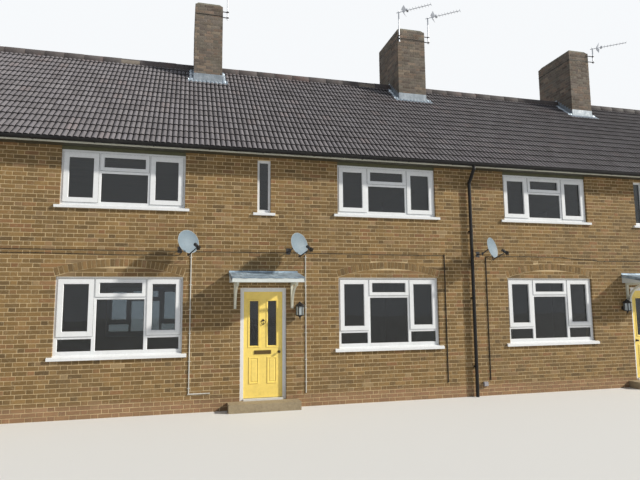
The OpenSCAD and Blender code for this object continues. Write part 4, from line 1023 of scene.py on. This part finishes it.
def window_lights():
    """Every light of a long wall as u0, u1, v0, v1 and the width of its sash, or 0 where it is fixed."""
    lights = []
    side_x, side_half, middle_half, slim_half = 0.74, 0.28, 0.41, 0.0925
    vent_h, vent_gap, side_sash, vent_sash = 0.29, 0.34, 0.068, 0.045
    low_levels, base_levels = (1.128, 1.403, 2.377), (1.128, 1.353)
    high_levels, slim_levels = (3.773, 3.773, 4.657), (3.73, 4.672)
    for x in window_xs:
        sides = [(x + s * side_x - side_half, x + s * side_x + side_half) for s in (-1, 1)]
        middle = (x - middle_half, x + middle_half)
        for low, foot, head in (low_levels, high_levels):
            lights += [(*edges, foot, head, side_sash) for edges in sides]
            lights += [(*middle, head - vent_h, head, vent_sash), (*middle, low, head - vent_gap, 0)]
        lights += [(*edges, *base_levels, 0) for edges in sides]
    return np.array(lights + [(x - slim_half, x + slim_half, *slim_levels, 0) for x in door_xs])


def trim_windows():
    """Beads round every pane with a dark seal inside them, and a dark rebate line round each opening sash
    that stands for its gasket and for painted shadow in the gap.
    """
    lights = window_lights()
    opens = lights[:, 4] > 0
    shrink, rebate_w = np.array([1, -1, 1, -1]), 0.012
    panes = lights[:, :4] + lights[:, 4:] * shrink
    sash_bead = [(-0.002, -0.0315), (-0.0005, -0.030), (0.0035, -0.0312), (0.0085, -0.050), (0.0088, -0.0683)]
    fixed_bead = [(-0.002, -0.0455), (-0.0005, -0.044), (0.0035, -0.0452), (0.0090, -0.058),
                  (0.0093, -0.0683)]
    seal = [(0.0070, -0.0670), (0.0080, -0.0650), (0.0125, -0.0660), (0.0135, -0.0682)]
    rebate = [(-0.005, -0.0455), (-0.0045, -0.044), (0.0002, -0.044), (0.0006, -0.0455)]
    white = [mitred_rings(panes[opens], sash_bead), mitred_rings(panes[~opens], fixed_bead)]
    # The rebate ring is partly a real gasket, partly painted shadow in the gap between sash and frame.
    dark = [mitred_rings(panes, seal), mitred_rings(lights[opens, :4] - rebate_w * shrink, rebate)]
    put_mesh("glazing_beads", on_both_walls(white), "white_plastic")
    put_mesh("glazing_seals_and_gap_shadows", on_both_walls(dark), "rubber_and_gap_shadow")


def trim_doors():
    """Moulded frames round each leaf's lights and panels, raised fields, and a letter plate with its flap."""
    ridge = [(0.0, -0.0655), (0.0005, -0.063), (0.003, -0.0575), (0.008, -0.0555)]
    to_glass = ridge + [(0.0115, -0.0562), (0.0330, -0.0738), (0.034, -0.0755)]
    to_field = ridge + [(0.013, -0.0575), (0.018, -0.0560), (0.023, -0.0583), (0.026, -0.0585),
                        (0.030, -0.0648), (0.038, -0.0646), (0.052, -0.0595)]
    plate = [(0.0, -0.0565), (0.002, -0.0540), (0.009, -0.0535), (0.011, -0.0558), (0.0145, -0.0558),
             (0.0175, -0.0536)]
    off_middle, glass_half, panel_half = 0.172, 0.113, 0.095
    glass_levels, panel_levels = (1.114, 2.016), (0.448, 0.938)
    plate_left, plate_right, plate_foot, plate_head = -0.166, 0.154, 0.991, 1.061
    for label, place, bodies, finish, slot in (
            ("front", front, ("row", "door_2", "door_3", "row"), "yellow_door", "door_yellow"),
            ("rear", rear, ("row",) * 4, "white_door", "door_white")):
        for i, (x, body) in enumerate(zip(door_xs, bodies)):
            middles = (x - off_middle, x + off_middle)
            lites = [(middle - glass_half, middle + glass_half, *glass_levels) for middle in middles]
            panels = [(middle - panel_half, middle + panel_half, *panel_levels) for middle in middles]
            shape = joined([mitred_rings(lites, to_glass), mitred_rings(panels, to_field, True)])
            put_mesh(f"door_mouldings_{label}_{i + 1}", placed(place, shape), finish, body)
            shape = mitred_rings([(x + plate_left, x + plate_right, plate_foot, plate_head)], plate, True)
            put_mesh(f"letter_plate_{label}_{i + 1}", placed(place, shape), "worn_brass", body)


def ring_round(radius, thick, z, sides=36, around=8):
    """A round bar bent into a level ring: a small circle turned about an upright axis."""
    turn = np.arange(around) * 2 * math.pi / around
    points, _ = turned_form(np.column_stack([radius + thick * np.cos(turn), z + thick * np.sin(turn)]), sides)
    return points, grid_faces(around + 1, sides, True) % (around * sides)


def trim_lanterns():
    """Pale panes between the bars, a rolled lip to the hood with six ribs, and rings at crown and base."""
    panes, metal = [], []
    lantern_x, out_y, pane_r, rib_r = 3.77, 0.12, 0.0616, 0.0028
    pane_rect, pane_rim = (-0.0275, 0.0275, 1.7135, 1.8715), [(0.0, -0.001), (0.002, 0.0014)]
    hood = ((0.099, 1.886), (0.058, 1.9170), (0.017, 1.9475))
    rings = ((0.0975, 0.0042, 1.885), (0.0175, 0.0045, 1.9475), (0.0430, 0.0035, 1.6985))
    for s in (-1, 1):
        middle = np.array([s * lantern_x, front_y - out_y, 0.0])
        for turn in np.radians(np.arange(30, 360, 60)):
            out, edge = (np.array([math.cos(a), math.sin(a), 0]) for a in (turn, turn + math.pi / 6))
            place = facing(middle + pane_r * out, (-out[1], out[0], 0), out)
            panes.append(placed(place, mitred_rings([pane_rect], pane_rim, True)))
            metal.append(swept_tube([middle + r * edge + (0, 0, z) for r, z in hood], rib_r, 6))
        metal += [placed(lambda p: p + middle, ring_round(*ring)) for ring in rings]
    put_mesh("lantern_panes", joined(panes), "pale_pane")
    put_mesh("lantern_bars", joined(metal), "lantern_black")


dish_xs = (-5.87, -3.84, 0.26)
lead_xs = (-5.794, -3.63, 0.31)


def dish_place(x):
    """Places points of a dish's own frame, in which it faces towards -y, in the row's frame."""
    turn, tilt, out, level = math.radians(33), math.radians(12), 0.30, 3.04

    def place(p):
        p = np.asarray(p, float).reshape(-1, 3)
        y = p[:, 1] * math.cos(tilt) + p[:, 2] * math.sin(tilt)
        z = p[:, 2] * math.cos(tilt) - p[:, 1] * math.sin(tilt)
        return np.column_stack([x + p[:, 0] * math.cos(turn) - y * math.sin(turn),
                                front_y - out + p[:, 0] * math.sin(turn) + y * math.cos(turn), level + z])

    return place


def smooth_curve(ends, count=20):
    """A cubic curve through the first and last of four points, drawn towards the two between."""
    t = np.linspace(0, 1, count)[:, None]
    a, b, c, d = np.asarray(ends, float)
    return (1 - t) ** 3 * a + 3 * t * (1 - t) ** 2 * b + 3 * t**2 * (1 - t) * c + t**3 * d


def trim_dishes():
    """A rolled rim, paler than the dish as a painted highlight, a receiver in four pieces at the arm's end,
    and the cable from it to the wall's lead.
    """
    rims, black = [], []
    rim_r, rim_thick, rim_depth, cable_r, lead_out, lead_top = 0.2135, 0.0045, -0.0388, 0.0036, 0.012, 2.866
    along, across = np.array([0, 1, 1]) / math.sqrt(2), np.array([0, -1, 1]) / math.sqrt(2)
    tail, nose = np.array([0, -0.304, -0.184]), np.array([0, -0.230, -0.110])
    tubes = ((nose, -0.002, 0.009, 0.0305, 20), (nose, -0.040, -0.030, 0.0300, 20),
             (tail, -0.034, -0.046, 0.007, 10))
    axes = np.array([(1, 0, 0), along, across])
    box_low, box_high = (-0.025, -0.036, -0.033), (0.025, 0.014, 0.033)
    plug_out, under_arm = 0.044, [(0, -0.36, -0.26), (0, -0.30, -0.225), (0, -0.20, -0.202)]
    under_dish = [(0, -0.10, -0.2235), (0, 0.0, -0.245)]
    drop, foot_pull, foot_sink = (0, 0, 0.09), (0, -0.05, 0.03), (0, 0, 0.01)
    for i, (x, lead_x) in enumerate(zip(dish_xs, lead_xs)):
        place = dish_place(x)
        points, faces = ring_round(rim_r, rim_thick, rim_depth, 72)
        rims.append((place(points[:, [0, 2, 1]] * (1, 1, -1)), faces))
        black += [placed(place, swept_tube([mid + low * along, mid + high * along], radius, sides))
                  for mid, low, high, radius, sides in tubes]
        points, faces = block(box_low, box_high)
        black.append((place(tail + points @ axes), faces))
        own = smooth_curve([tail - plug_out * along, *under_arm])
        own = place(np.concatenate([own, under_dish]))
        foot = np.array([lead_x, front_y - lead_out, lead_top])
        hung = smooth_curve([own[-1], own[-1] - drop, foot + foot_pull, foot - foot_sink])
        black.append(swept_tube(own, cable_r))
        cable = put_mesh(f"dish_cable_{i + 1}", swept_tube(hung, cable_r), "dark_sheath")
        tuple(hung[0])
    put_mesh("dish_rims", joined(rims), "dish_rim", smooth=True)
    put_mesh("dish_receivers", joined(black), "dark_sheath")


def clip(x, half, out, low, high):
    """A block that stands out from the front wall, half its width to each side of x, between two levels."""
    return block((x - half, front_y - out, low), (x + half, front_y, high))


def clip_leads():
    """Saddle clips over the pale leads, sheaths over the two dark ones, thin cables along the wall with their
    clips, and the small box beside the downpipe."""
    pale, dark = [], []
    saddle, sheath_clip, tack = ((0.014, 0.0222), (0.026, 0.0068)), (0.014, 0.0225), (0.004, 0.0150)
    saddle_h, sheath_clip_h, tack_half_h, tack_gap, wander = 0.014, 0.009, 0.008, 0.55, 0.05
    sheath_out, sheath_r, cable_out, cable_r = 0.010, 0.0107, 0.0088, 0.0048
    first_tack, last_tack = 0.3, 0.2
    pale_levels, dark_levels = np.arange(0.42, 2.8, 0.47), np.arange(0.5, 2.8, 0.42)
    sheaths = ((lead_xs[2], 0.3094, 2.8656), (-0.66, 0.3094, 2.9206))
    for x in lead_xs[:2]:
        for z in pale_levels + rng.uniform(-wander, wander, len(pale_levels)):
            pale += [clip(x, half, out, z, z + saddle_h) for half, out in saddle]
    for x, foot, top in sheaths:
        dark.append(swept_tube([(x, front_y - sheath_out, z) for z in (foot, top)], sheath_r, 12))
        for z in dark_levels + rng.uniform(-wander, wander, len(dark_levels)):
            dark.append(clip(x, *sheath_clip, z, z + sheath_clip_h))
    runs = [[(-10.9, 2.897), (-8.4, 2.905), (-5.9, 2.900), (-3.5, 2.905), (-1.1, 2.893), (-0.74, 2.899),
             (-0.70, 2.895), (-0.675, 2.880), (-0.663, 2.855), (-0.66, 2.80)],
            [(-10.9, 2.830), (-8.4, 2.843), (-7.1, 2.824), (-6.02, 2.827), (-5.99, 2.84), (-5.98, 2.875)],
            [(0.30, 2.885), (1.2, 2.90), (2.175, 2.895), (2.574, 2.858), (3.04, 2.846), (3.185, 2.822),
             (4.34, 2.834), (7.0, 2.830), (10.9, 2.826)]]
    for run in runs:
        run_x, run_z = np.array(run).T
        run_y = np.full(len(run), front_y - cable_out)
        dark.append(swept_tube(np.column_stack([run_x, run_y, run_z]), cable_r))
        for x in np.arange(run_x[0] + first_tack, run_x[-1] - last_tack, tack_gap):
            z = np.interp(x, run_x, run_z)
            dark.append(clip(x, *tack, z - tack_half_h, z + tack_half_h))
    put_mesh("lead_clips", joined(pale), "pale_sheath")
    put_mesh("wall_cables", joined(dark), "dark_sheath")
    lid = [(0.0, 0.0), (0.0, 0.043), (0.002, 0.046), (0.004, 0.046), (0.0042, 0.044), (0.0052, 0.044),
           (0.0055, 0.050), (0.008, 0.053)]
    box_rect = (0.13, 0.23, 0.20, 0.29)
    put_mesh("wall_box", placed(front, mitred_rings([box_rect], lid, True)), "grey_plastic")


def dress_canopies():
    """Lead over each canopy: a section from the wall upstand down the slope to the drip, carried across with
    shallow ripples and an uneven lower edge, and a plain cheek at each side."""
    slope, reach, half, t, edge_z = 0.12 / 0.65, 0.655, 0.655, 0.005, 2.405
    ripple_h, sag_out, sag_h = 0.0016, 0.0012, 0.0022
    cheek_out, cheek_top, cheek_foot, cheek_wall_z, cheek_edge_z = 0.0006, 0.004, -0.062, 2.52, 2.40
    over = lambda out: edge_z + (reach - out) * slope
    outs = np.linspace(0.03, 0.63, 9)
    upstand = [(0.0, 2.5505), (0.0045, 2.5515), (0.0058, 2.5490), (0.0056, 2.536),
               (0.012, over(0.012) + 0.001)]
    down = [(out, over(out)) for out in (*outs, 0.648)]
    drip = [(0.6545, 2.4020), (0.6562, 2.398), (0.6562, 2.393), (0.6560, 2.3870)]
    under = [(0.6505, 2.3867), (0.6495, 2.398), (0.640, over(0.640) - t), (0.03, over(0.03) - t),
             (0.0, 2.519)]
    drip_share = (0.3, 0.7, 1, 1, 1)
    section_out, section_z = np.array(upstand + down + drip + under).T
    first_down, first_drip = len(upstand), len(upstand + down)
    m = len(section_z)
    on_top, at_drip = np.zeros(m), np.zeros(m)
    on_top[first_down:first_down + len(outs)] = np.sin(np.linspace(0.35, math.pi - 0.35, len(outs)))
    at_drip[first_drip:first_drip + len(drip_share)] = drip_share
    across = np.linspace(-half, half, 120)
    faces = grid_faces(len(across), m, True)[:, ::-1].tolist()
    faces += [list(range(m)), [(len(across) - 1) * m + k for k in range(m)][::-1]]
    parts = []
    for middle in door_xs:
        phase = rng.uniform(0, 6, 4)
        ripple = (np.sin(across * 53 + 1.4 * np.sin(across * 9 + phase[0]))
                  + 0.6 * np.sin(across * 131 + phase[1]))
        sag = (np.sin(across * 21 + phase[2]) + 0.6 * np.sin(across * 47 + phase[3]))[:, None]
        out = section_out + at_drip * sag_out * (1 + sag)
        z = section_z + on_top * ripple_h * ripple[:, None] - at_drip**3 * sag_h * (1 + sag)
        x = np.broadcast_to(across[:, None] + middle, z.shape)
        parts.append((np.stack([x, front_y - out, z], 2), faces))
        for s in (-1, 1):
            points, cheek = block((middle + s * (half - t), 0, 0), (middle + s * (half + cheek_out), 1, 1))
            far, high = points[:, 1] > 0.5, points[:, 2] > 0.5
            points[:, 1] = front_y - np.where(far, skin_back, reach)
            points[:, 2] = np.where(far, cheek_wall_z, cheek_edge_z) + np.where(high, cheek_top, cheek_foot)
            parts.append((points, cheek))
    piece = put_mesh("dressed_canopy_leads", joined(parts), "canopy_lead")
    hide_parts("canopy_leads")


def trim_aerials():
    """Dark clamps, arms, wall channels and straps over the plain ones, each a little larger than they are."""
    masts = [(-4.98, -0.62, (9.11, 9.26), 0.125, (-1, 0, 0)),
             (-0.377, -0.77, (9.044, 9.127), 0.07, (0, 1, 0)),
             (0.54, -0.66, (9.09, 9.245), 0.145, (-1, 0, 0)),
             (5.99, -0.67, (9.11, 9.29), 0.215, (-1, 0, 0))]
    clamp = [(0.0155, -0.0178), (0.0235, -0.0178), (0.0258, -0.0155), (0.0258, 0.0155), (0.0235, 0.0178),
             (0.0155, 0.0178)]
    strap_out, strap_low, strap_high = 0.0062, 9.0815, 9.1085
    arm_r, arm_start, arm_short, bolt_half, bolt_far, bolt_near = 0.0117, 0.018, 0.006, 0.009, 0.034, 0.020
    channel_half, channel_past, channel_t = 0.0256, 0.0356, 0.0088
    up = np.array([0.0, 0.0, 1.0])
    parts = []
    for x, y, levels, reach, way in masts:
        way, middle = np.array(way), np.array([x, y, 0.0])
        beside = np.array([abs(way[1]), abs(way[0]), 0])
        for z in levels:
            start = middle + z * up
            parts += [turned_form(clamp, 20, (x, y, z)),
                      swept_tube([start + arm_start * way, start + (reach - arm_short) * way], arm_r, 12),
                      block(start - bolt_far * way - bolt_half * (beside + up),
                            start - bolt_near * way + bolt_half * (beside + up))]
        low, high = ((z + s * channel_past) * up for z, s in zip(levels, (-1, 1)))
        parts.append(block(middle + (reach - channel_t) * way - channel_half * beside + low,
                           middle + reach * way + channel_half * beside + high))
    # The straps are dark and as tall as the band with its shadow below it: partly a real band, partly painted
    # shadow.
    for x, half_w in stacks:
        wide, deep = half_w + strap_out, stack_half_d + strap_out
        parts.append(block((x - wide, -deep, strap_low), (x + wide, deep, strap_high)))
    put_mesh("aerial_fixings", joined(parts), "dark_sheath")


# Camera, light and floor


def turned(right, up, back):
    """A turn that takes a camera's or a lamp's own axes to three square directions."""
    return Matrix(np.column_stack([right, up, back]).tolist()).to_4x4()


def make_camera():
    """The solved view: yawed to the right of the row's depth, pitched above level, then rolled."""
    eye = (-5.93, -13.47, 1.96)
    yaw, tilt, roll = math.radians(14.49), math.radians(6.64), math.radians(-0.46)
    ahead = np.array([math.sin(yaw) * math.cos(tilt), math.cos(yaw) * math.cos(tilt), math.sin(tilt)])
    right = np.array([math.cos(yaw), -math.sin(yaw), 0])
    up = np.cross(right, ahead)
    right, up = (math.cos(roll) * right + math.sin(roll) * up, math.cos(roll) * up - math.sin(roll) * right)
    data = bpy.data.cameras.new("view")
    data.lens, data.sensor_width, data.clip_end = 29.82, 36, 300
    camera = put_object("view", data)
    camera.matrix_world = Matrix.Translation(eye) @ turned(right, up, -ahead)
    bpy.context.scene.camera = camera


def make_light():
    """One broad low sun from the right of the front, and an even pale sky."""
    lamp = bpy.data.lights.new("sun", "SUN")
    lamp.energy, lamp.angle, lamp.color = 4.6, math.radians(3), (1.0, 0.95, 0.86)
    towards = np.array([2.2, -1.0, 1.38])
    towards /= np.linalg.norm(towards)
    side = np.cross((0, 0, 1), towards)
    side /= np.linalg.norm(side)
    put_object("sun", lamp).matrix_world = turned(side, np.cross(towards, side), towards)
    world = bpy.data.worlds.new("sky")
    bpy.context.scene.world = world
    world.use_nodes = True
    tree = world.node_tree
    sky = tree.nodes["Background"]
    sky.inputs["Color"].default_value = (0.80, 0.88, 1.0, 1)
    sky.inputs["Strength"].default_value = 0.34
    pale = node(tree, "ShaderNodeBackground", {"Color": (0.93, 0.95, 0.97), "Strength": 1.0})[0]
    rays = node(tree, "ShaderNodeLightPath", {})
    seen = reckon(tree, "MAXIMUM", rays["Is Camera Ray"],
                  reckon(tree, "MAXIMUM", rays["Is Glossy Ray"], rays["Is Transmission Ray"]))
    mixed = node(tree, "ShaderNodeMixShader", {0: seen, 1: sky.outputs[0], 2: pale})[0]
    tree.links.new(mixed, tree.nodes["World Output"].inputs["Surface"])


def make_floor():
    """A plain pale floor at ground level, out of the row's reach on every side."""
    new_finish("pale_floor", Base_Color=(0.72, 0.72, 0.71), Roughness=0.9)
    reach = 60
    mesh = bpy.data.meshes.new("floor")
    mesh.from_pydata([(-reach, -reach, 0), (reach, -reach, 0), (reach, reach, 0), (-reach, reach, 0)], [],
                     [(0, 1, 2, 3)])
    mesh.materials.append(finishes["pale_floor"])
    floor = put_object("floor", mesh)


finish_cad_nodes()
lay_long_walls()
lay_end_walls()
lay_gable_mortar()
lay_stacks()
lay_tiles("front_tiles", -1)
lay_tiles("rear_tiles", 1)
lay_ridge()
lay_flashings()
lay_verges()
trim_windows()
trim_doors()
trim_lanterns()
trim_dishes()
clip_leads()
dress_canopies()
trim_aerials()
make_camera()
make_light()
make_floor()

bpy.context.scene.view_settings.view_transform = "Standard"
